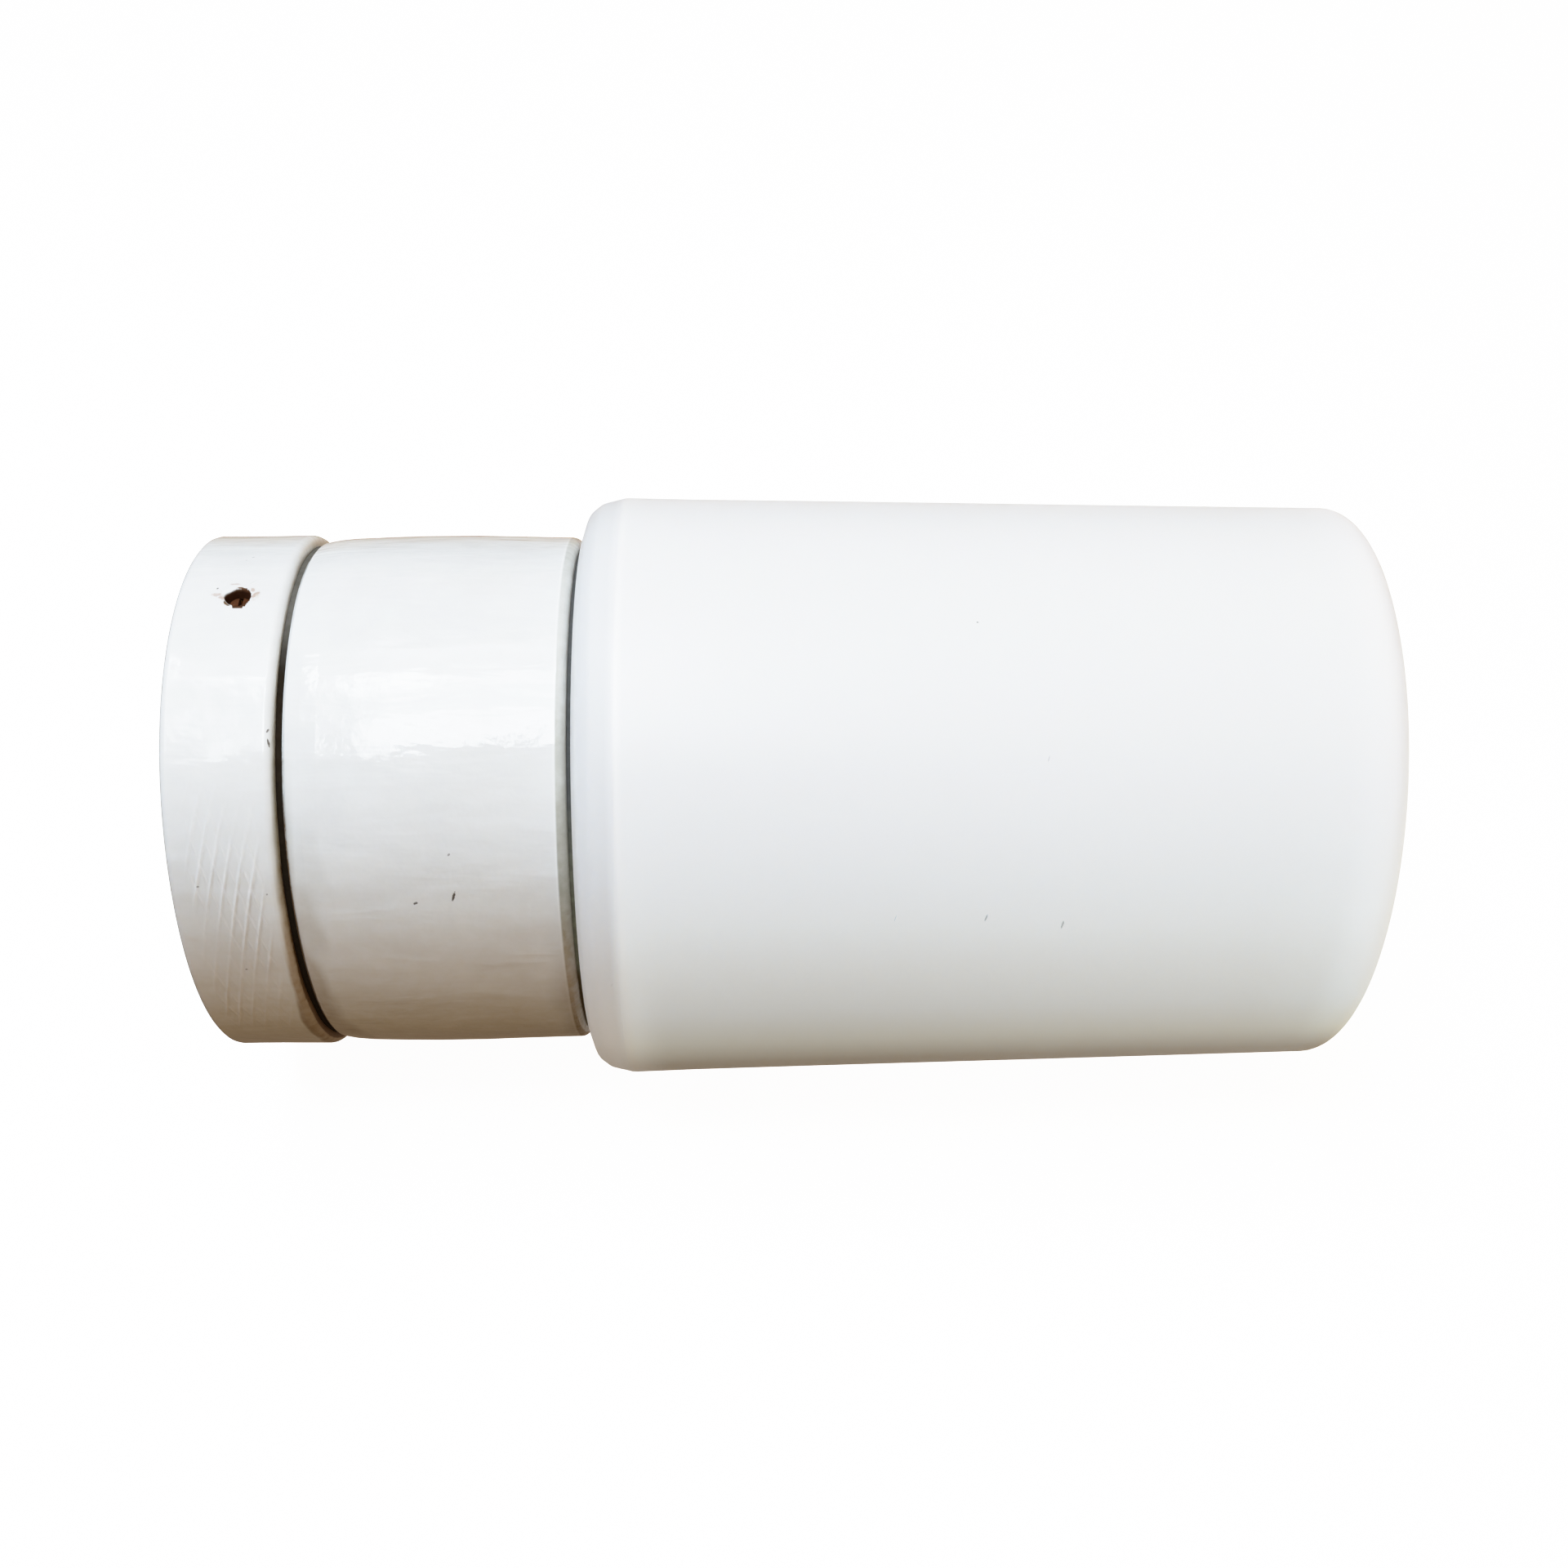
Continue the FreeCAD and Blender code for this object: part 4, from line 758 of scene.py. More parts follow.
MATS = {
    "ring_porcelain": porcelain("ring_porcelain_look", wave=0.00030, spots=RING_SPOTS,
                                chips=RING_CHIPS, net=True),
    "body_porcelain": porcelain("body_porcelain_look", wave=0.00034, spots=BODY_SPOTS,
                                gloss=(0.038, 0.075)),
    "opal_glass": opal(),
    "brass": metal("brass_look", (0.72, 0.50, 0.20), (0.42, 0.27, 0.11)),
    "shell_brass": metal("shell_brass_look", (0.80, 0.60, 0.28), (0.55, 0.38, 0.17),
                         rough=(0.22, 0.4)),
    "screw_steel": metal("screw_rust_look", (0.085, 0.040, 0.020), (0.045, 0.020, 0.010),
                         rough=(0.6, 0.85), scale=700, rust=(0.125, 0.036, 0.009)),
    "plated_steel": metal("plated_look", (0.62, 0.61, 0.58), (0.46, 0.45, 0.43),
                          rough=(0.25, 0.45)),
    "spring_steel": metal("spring_look", (0.60, 0.48, 0.32), (0.44, 0.34, 0.22)),
    "grommet_rubber": plain("grommet_look", (0.030, 0.029, 0.028), (0.055, 0.052, 0.05),
                            rough=(0.55, 0.8), specular=0.35),
    "seal_rubber": old_rubber("seal_look", top=(0.125, 0.115, 0.098),
                              low=(0.014, 0.0085, 0.0042), split=(0.0, 0.24)),
    "gasket_rubber": old_rubber("gasket_look", top=(0.085, 0.085, 0.080),
                                low=(0.185, 0.180, 0.118), split=(0.66, 0.94),
                                dark_run=(-57.0, (0.978, 0.988))),
    "holder_porcelain": plain("holder_porcelain_look", (0.80, 0.79, 0.76), (0.72, 0.70, 0.66),
                              rough=(0.12, 0.25), scale=90, bump=0.00006, subsurface=0.05),
    "copper": metal("copper_look", (0.80, 0.42, 0.26), (0.55, 0.27, 0.16)),
    "live_sleeve": plain("live_sleeve_look", (0.20, 0.085, 0.035), (0.14, 0.06, 0.026),
                         rough=(0.3, 0.45)),
    "neutral_sleeve": plain("neutral_sleeve_look", (0.035, 0.11, 0.32), (0.028, 0.08, 0.24),
                            rough=(0.3, 0.45)),
    "clear_glass": clear_glass(),
    "cap_metal": metal("cap_look", (0.74, 0.72, 0.66), (0.58, 0.56, 0.50), rough=(0.24, 0.42)),
    "black_glass": plain("black_glass_look", (0.012, 0.012, 0.014), (0.03, 0.03, 0.035),
                         rough=(0.08, 0.16)),
    "solder": metal("solder_look", (0.60, 0.60, 0.58), (0.44, 0.44, 0.42), rough=(0.35, 0.6)),
    "tungsten": metal("tungsten_look", (0.36, 0.36, 0.37), (0.22, 0.22, 0.23),
                      rough=(0.35, 0.5)),
}


def set_material(obj, slot):
    obj.data.materials.clear()
    obj.data.materials.append(MATS[slot])


slots = {part["node"]: part["material_slot"] for part in frame["record"]["subparts"]}
for node_name, node in frame["nodes"].items():
    set_material(node, "gasket_rubber" if node_name == "shade_gasket" else slots[node_name])


def finish_piece(obj, body, slot, replace=False):
    set_material(obj, slot)
    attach(obj, body)
    if replace:
        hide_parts(body)


# ------------------------------------------------------------------ mounting ring
WALL_REAR_R = RING_R - 0.06
WALL_END_R = RING_R - 0.16
RING_CORNERS = [                  # x, radius, rounding
    (0.0, 10.02, 0.3), (0.0, WALL_REAR_R, 1.1), (RING_END, WALL_END_R, 1.7),
    (RING_END - 0.02, 43.62, 0.9), (7.0, 43.62, 1.0), (7.0, 10.02, 0.3)]
# Bare patches by the holes: station, distance round the ring from the hole, radius
BARE_PATCHES = [(15.0, -0.35, 0.75), (14.3, 0.85, 0.40), (7.9, -1.3, 0.35)]

ring_lumps = smooth_noise(11, 16, 0.20, 5)
ring_fine = smooth_noise(12, 24, 1.1, 26)
net_fade = smooth_noise(13, 14, 0.45, 9)
ragged = smooth_noise(31, 22, 2.2, 46)
lip_steps = smooth_noise(32, 16, 1.2, 22)


def around_hole(x, angle, centre):
    """Distance round the ring from a hole's centre line, and straight distance to its centre."""
    across = RING_R * ((angle - centre + math.pi) % TAU - math.pi)
    return across, np.hypot(x - HOLE_X, across)


def net_mask(x, angle):
    """Where the moulded net still stands out: worn and flooded with glaze elsewhere."""
    band = unit((x - 3.2) / 1.6) * unit((17.5 - x) / 1.6)
    up = degrees_up(angle)
    near = unit((4.0 - up) / 22.0) * unit((up + 66.0) / 12.0)
    far = unit((np.abs(up) - 112.0) / 14.0) * 0.8
    worn = np.clip(0.72 + 0.34 * net_fade(x, angle), 0.12, 1.0)
    return band * worn * np.maximum(near, far)


def net_line(phase):
    """Rounded line at each whole phase. 0.962 is about the spacing square to the slanted
    lines for 1 along X; 0.26 mm is the line's half width."""
    offset = (phase + 0.5) % 1.0 - 0.5
    return np.exp(-(np.abs(offset) * NET_STEP * 0.962 / 0.26) ** 2)


def ring_push(x, radius, angle, normal_x, normal_r):
    outer = unit((normal_r - 0.55) / 0.35) * (radius > RING_R - 3)
    turn = angle * NET_COUNT / TAU
    lines = np.maximum(net_line(x / NET_STEP + turn), net_line(x / NET_STEP - turn) * 0.7)
    net = net_mask(x, angle) * lines * 0.15
    # glaze pulled up around each set-screw hole, wiping out the net there
    collar = np.zeros_like(x)
    near = np.zeros_like(x)
    for centre in HOLE_ANGLES:
        across, distance = around_hole(x, angle, centre)
        bearing = np.arctan2(across, x - HOLE_X)
        lip = 0.30 + 0.26 * np.cos(2 * bearing) + 0.10 * np.sin(3 * bearing + 0.7)
        collar += np.clip(lip, 0.05, 1) * 0.34 * np.exp(-((distance - 3.15) / 0.62) ** 2)
        near = np.maximum(near, np.exp(-(distance / 4.6) ** 4))
    lumps = 0.06 * ring_lumps(x, angle) * (normal_x ** 2 < 0.8)
    edge = 0.045 * ring_fine(x, angle) * unit(1 - np.abs(normal_r)) * (normal_x > 0.3)
    return outer * (net * (1 - near) + collar) + (lumps + edge) * (radius > 46)


def ring_profile():
    """The rounded outline, with a fine, even grid on the outer wall to carry the net."""
    path = round_path(RING_CORNERS, 1.2)
    x, radius = path.T
    on_wall = (radius > RING_R - 0.35) & (x > 1.12) & (x < RING_END - 1.72)
    first = np.argmax(on_wall)
    grid_x = np.linspace(1.15, RING_END - 1.75, 150)
    grid_r = WALL_REAR_R + (WALL_END_R - WALL_REAR_R) * grid_x / RING_END
    grid = np.column_stack([grid_x, grid_r])
    return np.concatenate([path[:first], grid, path[first:][~on_wall[first:]]])


def slot_outline(centre_y, half, radius):
    """A slot lying along Y, as (y, z) points."""
    ends = ((half, -math.pi / 2, math.pi / 2), (-half, math.pi / 2, 3 * math.pi / 2))
    return [(centre_y + shift + radius * math.cos(a), radius * math.sin(a))
            for shift, start, stop in ends for a in np.linspace(start, stop, 16)]


def round_plug(name, radius, z_start, z_end, wobble=0.0, seed=1, flare=0.0):
    """A closed round plug along Z at the hole station, uneven and flared outwards if asked."""
    around, levels = 64, 9
    rng = np.random.RandomState(seed)
    phase = rng.uniform(0, TAU, 5)
    height = rng.uniform(0.4, 1.0, 5)
    verts = []
    for i, z in enumerate(np.linspace(z_start, z_end, levels)):
        part = i / (levels - 1)
        grow = flare * max(0.0, (part - 0.55) / 0.45) ** 2
        for j in range(around):
            a = TAU * j / around
            wave = sum(height[k] * math.sin((k + 2) * a + phase[k]) for k in range(5)) / 3
            reach = radius + wobble * wave * (0.35 + 0.65 * part) + grow
            verts.append(((HOLE_X + reach * math.cos(a)) * MM, reach * math.sin(a) * MM, z * MM))
    return make_object(name, verts, tube_faces(levels, around), smooth=False)


def cut_ring(ring):
    for centre_y in (30.0, -30.0):
        outline = slot_outline(centre_y, half=2.4, radius=2.6)
        cut(ring, prism("slot_cutter", outline, -1.0, 7.6))
    for below, seed in ((False, 5), (True, 6)):
        plug = round_plug("hole_cutter", 2.2, 41.0, 52.5, wobble=0.22, seed=seed, flare=0.35)
        seat = round_plug("seat_cutter", 3.3, 40.0, 47.9)
        if below:
            for cutter in (plug, seat):
                cutter.data.transform(Matrix.Rotation(math.pi, 4, "X"))
        cut(ring, seat)
        cut(ring, plug)
    shade_smooth(ring)


def dirty_ring(ring):
    x, radius, angle = coords(ring)
    up = degrees_up(angle)
    on_wall = (radius > RING_R - 0.6) & (x > 2) & (x < RING_END - 1.6)
    # dust and painted shade beside the seam on the lip
    # the +X lip: hardly marked at the top, olive then brown and ragged towards the bottom
    low = underside(up, start=6.0, span=62.0)
    mid = unit((40.0 - up) / 34.0) * (np.abs(up) < 140)
    # uneven along the lip, straight across it
    steps = 0.16 * lip_steps(0 * x, angle) + 0.10 * ragged(0 * x, angle)
    reach = 0.75 + 0.85 * mid + 1.65 * low ** 1.5 + steps * (0.25 + low)    # mm of lip covered
    seam_r = RING_R - 1.9
    from_seam = np.clip(radius - seam_r, 0, 3) + np.clip(RING_END - x, 0, 4) * 0.75
    from_seam = np.where(radius < seam_r, 0, from_seam)
    lip = (x > RING_END - 3.4) & (radius > 45)
    # grime and painted shade right at the seam, heavier towards the bottom
    grime = lip * unit((0.35 + 0.75 * low - from_seam) / 0.40) * (0.15 + 0.80 * low)
    film = (lip * unit((reach + 0.30 - from_seam) / (1.15 - 0.75 * low))
            * np.clip(0.45 + 0.32 * mid + 0.30 * low, 0, 0.90))
    # painted shade and grime inside the bore
    bore = (radius < 44.2) & (x > 7.2)
    grime = np.maximum(grime, bore * 0.75 * np.clip((x - 12) / 7, 0.2, 1))
    bare = np.zeros(len(x))
    # painted shade inside the set-screw holes
    shaded_hole = np.zeros(len(x))
    for centre in HOLE_ANGLES:
        across, distance = around_hole(x, angle, centre)
        inside = (distance < 2.95) & (radius > 44) & (radius < RING_R - 0.10)
        shaded_hole = np.maximum(shaded_hole, inside)
        # a ragged dark ring of grime and painted shade round each hole's rim
        rim = np.exp(-((distance - 2.55) / 0.30) ** 2) * (radius > RING_R - 1.2)
        rim *= np.clip(0.30 + 0.55 * ragged(x, angle), 0, 0.8)
        grime = np.maximum(np.maximum(grime, inside), rim)
        for patch_x, patch_across, size in BARE_PATCHES:
            away = np.hypot(x - patch_x, across - patch_across)
            patch = unit(1.25 - away / size) * (radius > RING_R - 1)
            patch *= np.clip(0.35 + 0.6 * ragged(x * 1.7, angle), 0, 0.65)
            bare = np.maximum(bare, patch)
    # pool says how much of the net still shows
    set_attrs(ring, line=0, pool=np.where(on_wall, net_mask(x, angle), 0),
              tan=unit(low * 2.2 - 0.35) * (radius > 44), grime=grime, film=film, bare=bare,
              deep=shaded_hole)


ring = lathe("ring_glazed", ring_profile(), 720, ring_push)
cut_ring(ring)
dirty_ring(ring)
finish_piece(ring, "mounting_ring", "ring_porcelain", replace=True)

# ------------------------------------------------------------------ lamp body
BORE_R = 42.9
BODY_CORNERS = [                  # x, radius, rounding
    (8.0, 37.5, 0.6), (8.0, 43.18, 0.8), (21.1, 43.18, 0.2),
    # outer wall
    (21.1, 48.15, 0.25), (21.75, 48.85, 0.5), (22.6, 49.05, 1.2), (24.4, 49.36, 3.0),
    (27.4, 49.60, 8.0), (33.8, 49.76, 14.0), (40.5, 49.84, 14.0), (50.0, 49.78, 14.0),
    (60.0, 49.46, 12.0), (67.2, 49.24, 5.0), (BODY_END, 49.14, 1.9),
    # bore and floor
    (BODY_END, BORE_R, 0.9), (30.5, BORE_R, 2.5), (30.5, 10.8, 0.5), (23.5, 10.8, 0.5),
    (23.5, 37.5, 1.5)]
FLOOR_HOLES = [(25.0, 0.0, 2.3), (-25.0, 0.0, 2.3), (0.0, -24.0, 1.9)]      # y, z, radius

body_lumps = smooth_noise(21, 18, 0.12, 6)
body_fine = smooth_noise(22, 22, 0.7, 22)
body_edge = smooth_noise(33, 18, 1.6, 26)
body_patch = smooth_noise(34, 26, 0.9, 30)


def body_push(x, radius, angle, normal_x, normal_r):
    outer = unit(normal_r) * (radius > 48) * (x > SEAL_END)
    return outer * (0.055 * body_lumps(x, angle) + 0.006 * body_fine(x, angle))


def body_profile():
    """The rounded outline, split every 0.16 mm on the outside near both ends."""
    path = round_path(BODY_CORNERS, 1.0)
    dense = []
    for here, there in zip(path, np.roll(path, -1, 0)):
        dense.append(here)
        near_end = (max(here[0], there[0]) > BODY_END - 3.2
                    or min(here[0], there[0]) < 23.5)
        if min(here[1], there[1]) > 47.0 and near_end:
            parts = int(np.hypot(*(there - here)) / 0.16) + 1
            dense += [here + (there - here) * j / parts for j in range(1, parts)]
    return np.array(dense)


def dirty_body(barrel):
    x, radius, angle = coords(barrel)
    low = underside(degrees_up(angle), start=20.0, span=70.0)
    edge = body_edge(0 * x, angle)
    outside = radius > 47
    rim = (x > BODY_END - 2.6) & (radius > 42.5)
    # painted shade with some dust on the rim's rounding beside the shade, heavier towards the
    # bottom
    film = (rim * unit((x - (BODY_END - 1.95)) / 0.25)
            * np.clip(0.43 + 0.78 * low + 0.04 * edge, 0, 0.95))
    # painted shade with some dust in the first millimetre or two beside the first seam
    beside = (unit((23.4 - x) / 2.2) ** 1.3 * (radius > 46.5) * (x > 20.9)
              * unit(low * 3.0 - 0.25))
    # a brown film reaches back from the rim along the lowest part
    creep = (unit((x - (BODY_END - 5.0 - 0.5 * edge)) / 4.0) * unit(low * 2.0 - 1.15)
             * outside)
    # and a thinner, patchy one spreads from the first seam
    seam = (unit((26.2 + 1.9 * body_patch(x, angle) - x) / 5.0) * unit(low * 1.9 - 0.62)
            * outside * (x > 21.0))
    for layer in (beside * 0.62, creep * 0.62, seam * 0.52):
        film = np.maximum(film, layer)
    # grime and painted shade on the body's rear edge at the first seam, heavier towards the bottom
    grime = ((radius > 43.5) & (x < 22.3)) * unit((21.75 - x) / 0.45) * (0.25 + 0.75 * low)
    # and at the lowest part of the rim beside the shade
    rim_grime = rim * unit((x - (BODY_END - 0.55)) / 0.4) * np.clip(low * 0.9 - 0.50, 0, 0.32)
    sleeve = (radius > 43.0) & (radius < 43.4) & (x < 21.2)
    for layer in (rim_grime, sleeve * unit((x - 14) / 6) * 0.8):
        grime = np.maximum(grime, layer)
    # painted highlight: a pale line along the start of the rim's rounding
    line = np.exp(-((x - (BODY_END - 2.05)) / 0.16) ** 2) * 0.8
    set_attrs(barrel, tan=unit(np.maximum(creep, seam) * 1.6) * 0.85, grime=grime, film=film,
              line=((radius > 48.5) & (x > BODY_END - 3)) * line, pool=0,
              bare=((x < 20.0) & (radius < 43.3)) * 0.85)


barrel = lathe("barrel_glazed", body_profile(), 720, body_push)
for hole_y, hole_z, hole_r in FLOOR_HOLES:
    circle = [(hole_y + hole_r * math.cos(a), hole_z + hole_r * math.sin(a))
              for a in np.arange(40) * TAU / 40]
    cut(barrel, prism("floor_cutter", circle, 22.0, 32.0))
shade_smooth(barrel)
dirty_body(barrel)
finish_piece(barrel, "lamp_body", "body_porcelain", replace=True)
thread = helix_ridge("barrel_thread", root=BORE_R, crest=41.2, start=60.0, run=8.0,
                     root_width=2.6, crest_width=1.2)
set_attrs(thread, grime=0, bare=0, film=0, line=0, pool=0, tan=0)
finish_piece(thread, "lamp_body", "body_porcelain")

# ------------------------------------------------------------------ opal shade
GLASS = 3.1                       # wall thickness
NECK_R, NECK_BORE_R, END_R = 40.6, 37.4, 52.86
SHADE_OUTER = [                   # x, radius, rounding; from the neck to the axis
    (58.0, NECK_BORE_R, 0.9), (58.0, NECK_R, 0.9), (SHADE_FACE, NECK_R, 0.5),
    (SHADE_FACE, 50.4, 1.2), (73.05, 53.75, 2.6), (75.3, 55.40, 2.6), (79.35, 56.40, 0.45),
    (80.2, 56.44, 0.8), (92.0, 56.02, 12.0), (150.0, 54.52, 30.0), (SHADE_END, END_R, 4.6),
    (SHADE_END, 30.0, 60.0), (SHADE_END, 0.0)]
SHADE_INNER = [                   # and back from the axis to the neck
    (SHADE_END - GLASS, 0.0), (SHADE_END - GLASS, END_R - GLASS, 3.5),
    (92.0, 56.0 - GLASS, 10.0), (78.6, 56.4 - GLASS, 2.5), (SHADE_FACE + GLASS, 49.6, 2.0),
    (SHADE_FACE + GLASS, NECK_BORE_R, 1.6), (58.0, NECK_BORE_R, 0.9)]

shade_lumps = smooth_noise(41, 14, 0.05, 4)


def shade_push(x, radius, angle, normal_x, normal_r):
    outer = unit(normal_r) * (x > 78) * (radius > 51)
    return outer * 0.035 * np.clip(shade_lumps(x, angle) - 1.2, -3, 0)


shade_path = np.concatenate([round_path(SHADE_OUTER, 1.6, closed=False),
                             round_path(SHADE_INNER, 2.2, closed=False)[:-1]])
shade = lathe("shade_opal", shade_path, 540, shade_push)
finish_piece(shade, "shade", "opal_glass", replace=True)
thread = helix_ridge("shade_thread", root=NECK_R, crest=42.25, start=63.0, run=6.0,
                     root_width=3.2, crest_width=1.4)
finish_piece(thread, "shade", "opal_glass")


# ------------------------------------------------------------------ floor and world
def fresh_nodes(block):
    block.use_nodes = True
    block.node_tree.nodes.clear()
    return Nodes(block.node_tree)


def build_floor():
    """A pale glowing floor that only the camera sees, clear from below."""
    bpy.ops.mesh.primitive_grid_add(x_subdivisions=8, y_subdivisions=8, size=8.0,
                                    location=(0.1, 0, cad_box[0][2] - 0.0005))
    floor = bpy.context.object
    floor.name = "floor"
    material = bpy.data.materials.new("pale_floor")
    nodes = fresh_nodes(material)
    pale = nodes.add("AddShader", nodes.add("BsdfDiffuse", Color=(0.86, 0.86, 0.86)),
                     nodes.add("Emission", Color=(1, 1, 1), Strength=1.6))
    from_below = nodes.add("NewGeometry").outputs["Backfacing"]
    surface = nodes.add("MixShader", from_below, pale, nodes.add("BsdfTransparent"))
    nodes.add("OutputMaterial", Surface=surface)
    floor.data.materials.append(material)
    floor.visible_diffuse = False
    floor.visible_glossy = False
    floor.visible_transmission = False
    floor.visible_shadow = False


# Colour of the surroundings by the Z of the direction, -1 straight down to 1 straight up
SURROUNDINGS = [
    (-1.0, (0.02, 0.01, 0.004)), (-0.6, (0.585, 0.402, 0.262)), (-0.25, (0.345, 0.243, 0.129)),
    (0.0, (0.035, 0.026, 0.020)), (0.2, (0.030, 0.022, 0.016)), (0.55, (0.26, 0.15, 0.04)),
    (1.0, (0.80, 0.64, 0.34))]


def build_world():
    """Soft surroundings as the piece sees them, plain white to the camera."""
    world = bpy.data.worlds.new("studio")
    scene.world = world
    nodes = fresh_nodes(world)
    direction = nodes.xyz(nodes.add("TexCoord").outputs["Generated"])
    level = nodes.add("MapRange", Value=direction["Z"], From_Min=-1, From_Max=1)
    color = nodes.ramp(level.outputs[0], [((z + 1) / 2, tint) for z, tint in SURROUNDINGS])
    # a little dimmer towards -X, the ring's side
    side = nodes.math("MULTIPLY_ADD", direction["X"], 0.42, 1.0)
    seen = nodes.add("MixShader", nodes.add("LightPath").outputs["Is Camera Ray"],
                     nodes.add("Background", Color=color, Strength=side),
                     nodes.add("Background", Color=(1, 1, 1), Strength=4.0))
    nodes.add("OutputWorld", Surface=seen)


build_floor()
build_world()


# ------------------------------------------------------------------ lights
# A curtained window overhead in two parts at nearly one place: the first only lights surfaces,
# the second is only seen mirrored in the glaze, where its folds and its uneven edge towards -Y
# break the highlight into streaks.
def area_light(name, place, size, power, tint):
    """A rectangular light facing down; returns it with nodes reading its position."""
    data = bpy.data.lights.new(name, "AREA")
    data.shape = "RECTANGLE"
    data.size, data.size_y = size
    data.energy = power
    data.color = tint
    light = bpy.data.objects.new(name, data)
    scene.collection.objects.link(light)
    light.location = place
    # aimed a hair off vertical so that its roll is settled
    aim = Vector((place[0], place[1] - 0.0001, 0.0)) - Vector(place)
    light.rotation_euler = aim.to_track_quat("-Z", "Y").to_euler()
    data.use_nodes = True
    nodes = Nodes(data.node_tree)
    nodes.point = nodes.add("NewGeometry").outputs["Position"]
    return light, nodes


def uneven(nodes, scale, stretch, swing, detail=3.0):
    return nodes.centred(nodes.noise(scale, detail, point=nodes.stretched(stretch)), swing)


def wisps(nodes, scale, stretch_x):
    """Streaky brightness from 0.25 to 1.75."""
    noise = nodes.noise(scale, detail=4.0, point=nodes.stretched((stretch_x, 1.0, 1.0)))
    return nodes.math("MULTIPLY_ADD", noise, 1.5, 0.25)


def soft_band(nodes, place):
    """Brightness in two soft bands across Y; both curves run over the face from 0 to 1."""
    shifted = nodes.math("ADD", place["Y"], uneven(nodes, 9.0, (1.0, 0.25, 1.0), 0.11, 4.0))
    face_y = nodes.math("MULTIPLY_ADD", shifted, 1 / 0.80, 0.5 + 0.045)
    band = nodes.curve(face_y, [(0.035, 0.0), (0.055, 1.0), (0.24, 1.15), (0.31, 0.62),
                                (0.50, 0.55), (0.58, 1.15), (0.74, 1.10), (0.86, 0.42),
                                (0.98, 0.0)], top=1.2)
    shifted = nodes.math("ADD", place["X"], uneven(nodes, 14.0, (0.2, 1.0, 1.0), 0.16))
    face_x = nodes.math("MULTIPLY_ADD", shifted, 1 / 0.46, 0.5 + 0.105 / 0.46)
    sides = nodes.curve(face_x, [(0.04, 0.0), (0.22, 1.0), (0.80, 1.0), (0.97, 0.0)])
    strength = 1.55
    return nodes.times(nodes.times(band, sides),
                       nodes.times(wisps(nodes, 26.0, 0.22), strength))


# Brightness across the mirrored window by Y in m
WINDOW_BANDS = [
    (-0.52, 7.5), (-0.385, 8.0), (-0.345, 9.6), (-0.29, 9.4), (-0.245, 11.2), (-0.195, 9.6),
    (-0.165, 6.0), (-0.12, 4.6), (-0.06, 4.4), (-0.01, 4.8), (0.04, 5.4), (0.085, 5.2),
    (0.12, 3.0), (0.17, 1.9), (0.28, 2.3), (0.318, 3.4), (0.345, 1.2), (0.40, 0.2), (0.44, 0.0)]
# One bright fold: by Y, and its share by X
FOLD_Y = [(-0.06, 0.0), (0.0, 4.5), (0.05, 8.0), (0.085, 5.5), (0.115, 0.0)]
FOLD_X = [(-0.20, 0.0), (-0.16, 0.9), (-0.08, 1.0), (-0.03, 0.25), (0.02, 0.1)]
# The Y where the window stops for each X
SILL = [
    (-0.26, -0.300), (-0.205, -0.305), (-0.196, -0.425), (-0.172, -0.480), (-0.150, -0.425),
    (-0.133, -0.385), (-0.124, -0.362), (-0.095, -0.374), (-0.05, -0.394), (0.004, -0.398),
    (0.012, -0.392), (0.020, -0.330), (0.030, -0.290), (0.06, -0.290)]


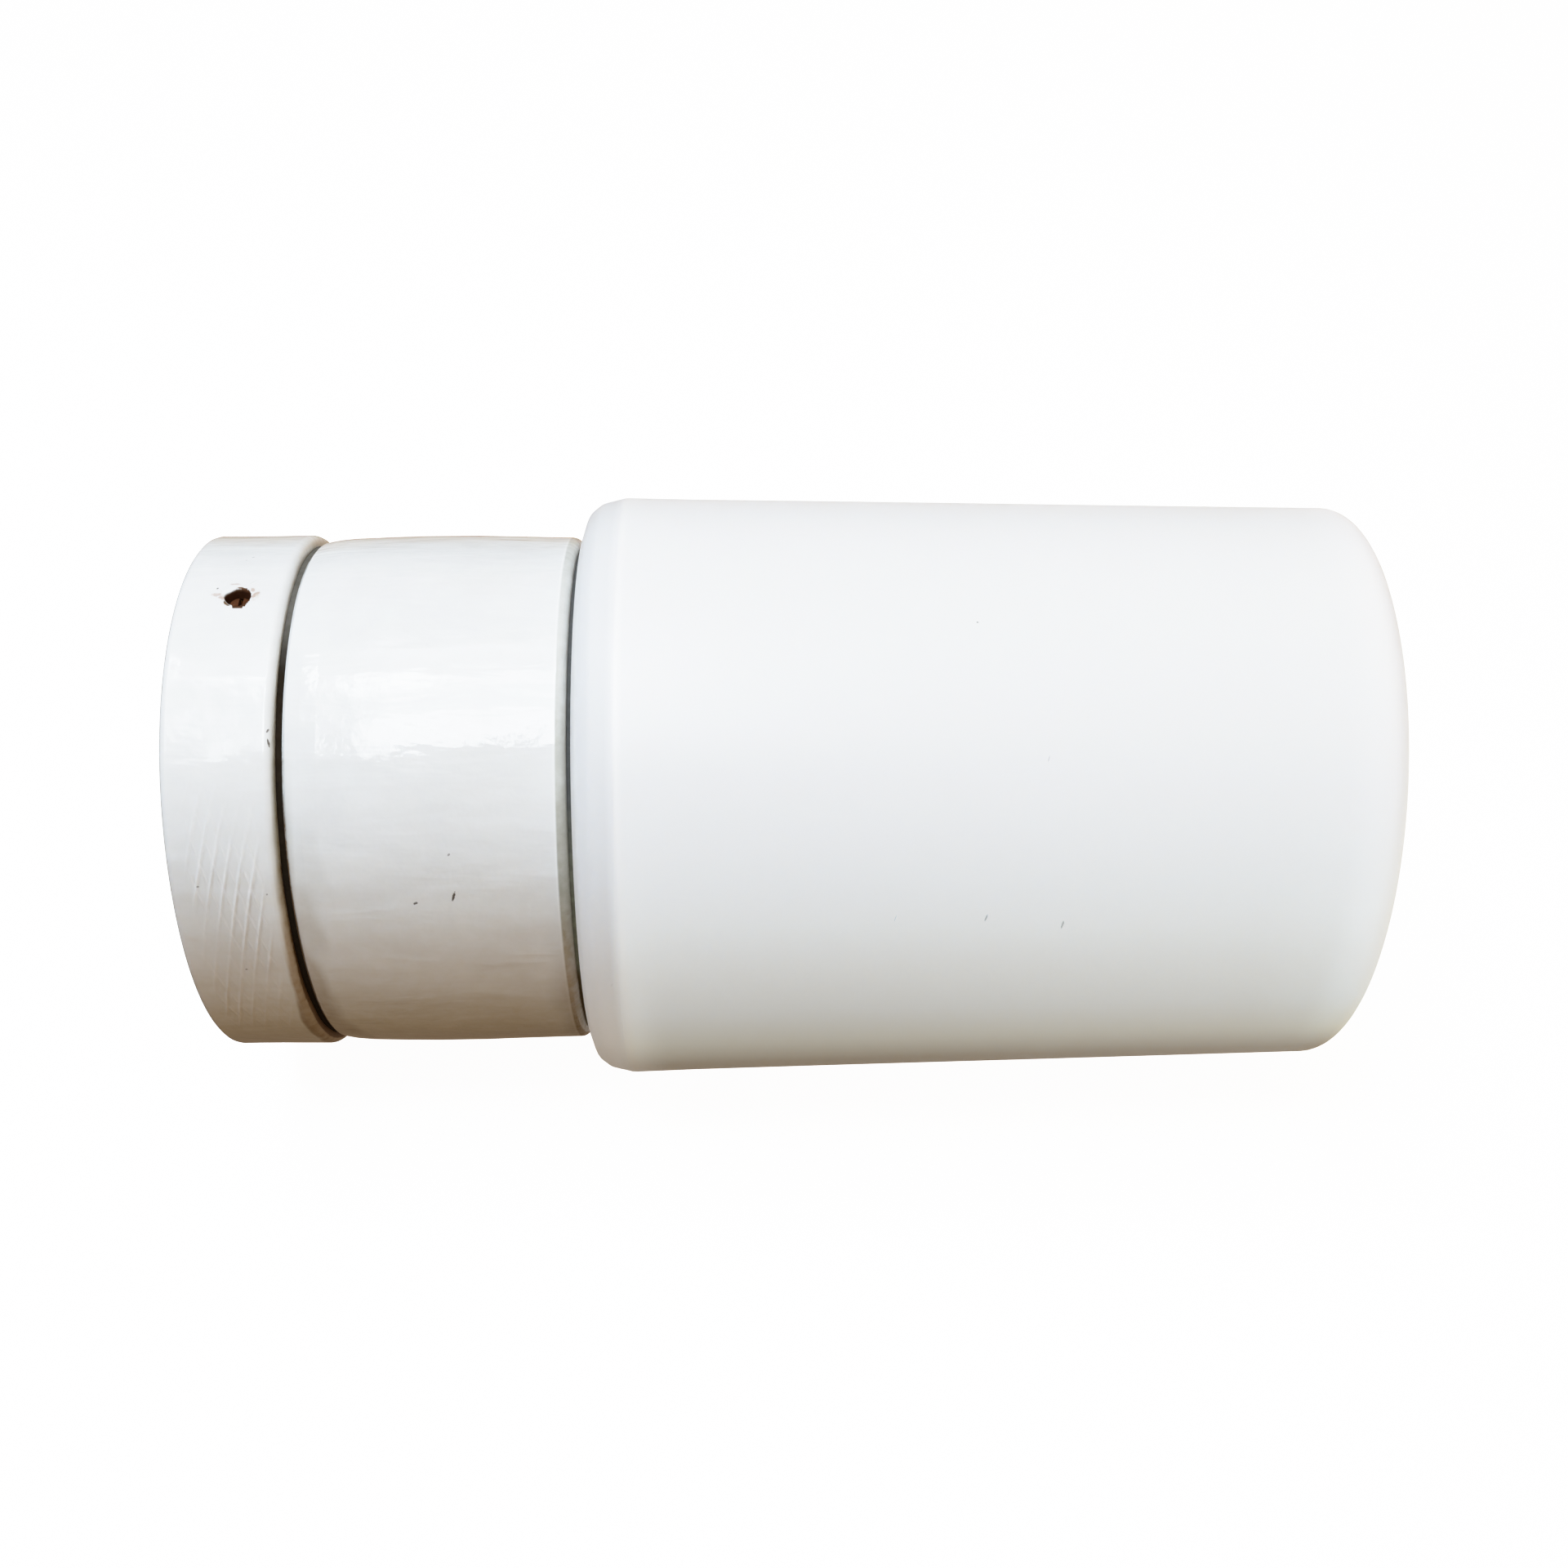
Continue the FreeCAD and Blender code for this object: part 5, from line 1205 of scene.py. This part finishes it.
def mirrored_face(nodes, place):
    """Brightness of the mirrored window: folds over its middle, the soft band at its X ends."""
    x, y = place["X"], place["Y"]
    wavy_y = nodes.math("ADD", y, uneven(nodes, 11.0, (0.8, 0.15, 1.0), 0.060, 4.0))
    bands = nodes.curve(wavy_y, WINDOW_BANDS, low=-0.55, high=0.45, top=12.0)
    fold_x = nodes.math("ADD", x, uneven(nodes, 22.0, (1.0, 1.0, 1.0), 0.08))
    fold = nodes.times(nodes.curve(wavy_y, FOLD_Y, low=-0.1, high=0.15, top=10.0),
                       nodes.curve(fold_x, FOLD_X, low=-0.3, high=0.1))
    face = nodes.times(nodes.math("ADD", bands, fold), wisps(nodes, 30.0, 0.16))
    sill = nodes.curve(x, SILL, low=-0.26, high=0.06, top=-1.0)
    sill = nodes.math("ADD", sill, uneven(nodes, 75.0, (1.0, 0.0, 1.0), 0.030))
    above = nodes.math("MULTIPLY", nodes.math("SUBTRACT", y, sill), 1 / 0.009, clamp=True)
    edge_x = nodes.math("ADD", x, uneven(nodes, 16.0, (0.3, 1.0, 1.0), 0.09, 4.0))
    edge = nodes.curve(edge_x, [(-0.245, 0.0), (-0.200, 0.38), (-0.150, 1.0)],
                       low=-0.3, high=0.1)
    face = nodes.times(face, above, edge)
    band_strength = 8.19
    band = nodes.times(soft_band(nodes, place), band_strength)
    ends = nodes.curve(x, [(-0.262, 1.0), (-0.235, 0.0), (0.030, 0.0), (0.060, 1.0)],
                       low=-0.3, high=0.1)
    return nodes.math("ADD", nodes.times(face, nodes.math("SUBTRACT", 1.0, ends)),
                      nodes.times(band, ends))


def light_face(nodes, pattern):
    nodes.fill(nodes.tree.nodes["Emission"], {"Strength": pattern(nodes, nodes.xyz(nodes.point))})


# power: radiance 10.6 W/m2/sr over a nominal 0.37 x 0.73 m
lamp, lamp_nodes = area_light("overhead_soft", (-0.105, -0.039, 0.85), size=(0.46, 0.76),
                              power=10.6 * math.pi * 0.37 * 0.73, tint=(0.83, 1.0, 1.22))
lamp.visible_glossy = False
light_face(lamp_nodes, soft_band)

WINDOW = (0.60, 1.02)             # power: radiance 1 over this size
mirror, mirror_nodes = area_light("overhead_mirrored", (-0.105, -0.069, 0.8502), size=WINDOW,
                                  power=math.pi * WINDOW[0] * WINDOW[1],
                                  tint=(0.90, 1.0, 1.10))
mirror.visible_diffuse = False
mirror.visible_transmission = False
light_face(mirror_nodes, mirrored_face)


# ------------------------------------------------------------------ camera
def build_camera():
    station, distance = 102.21 * MM, 363.55 * MM      # along the axis, and out from it
    turn = Matrix.Identity(4)
    for degrees, axis in ((1.5765, "Y"), (-7.4303, "X"), (-0.5237, "Z")):
        turn = turn @ Matrix.Rotation(math.radians(degrees), 4, axis)
    data = bpy.data.cameras.new("camera")
    camera = bpy.data.objects.new("camera", data)
    scene.collection.objects.link(camera)
    tilt = Matrix.Rotation(math.radians(90 - ELEVATION), 4, "X")
    camera.matrix_world = tilt @ Matrix.Translation((station, 0, distance)) @ turn
    data.sensor_fit = "HORIZONTAL"
    data.sensor_width = 36.0
    data.lens = 41.287125
    data.shift_x = 0.05484375
    data.shift_y = 0.15346875
    data.clip_start = 0.01
    data.clip_end = 50.0
    scene.camera = camera


build_camera()
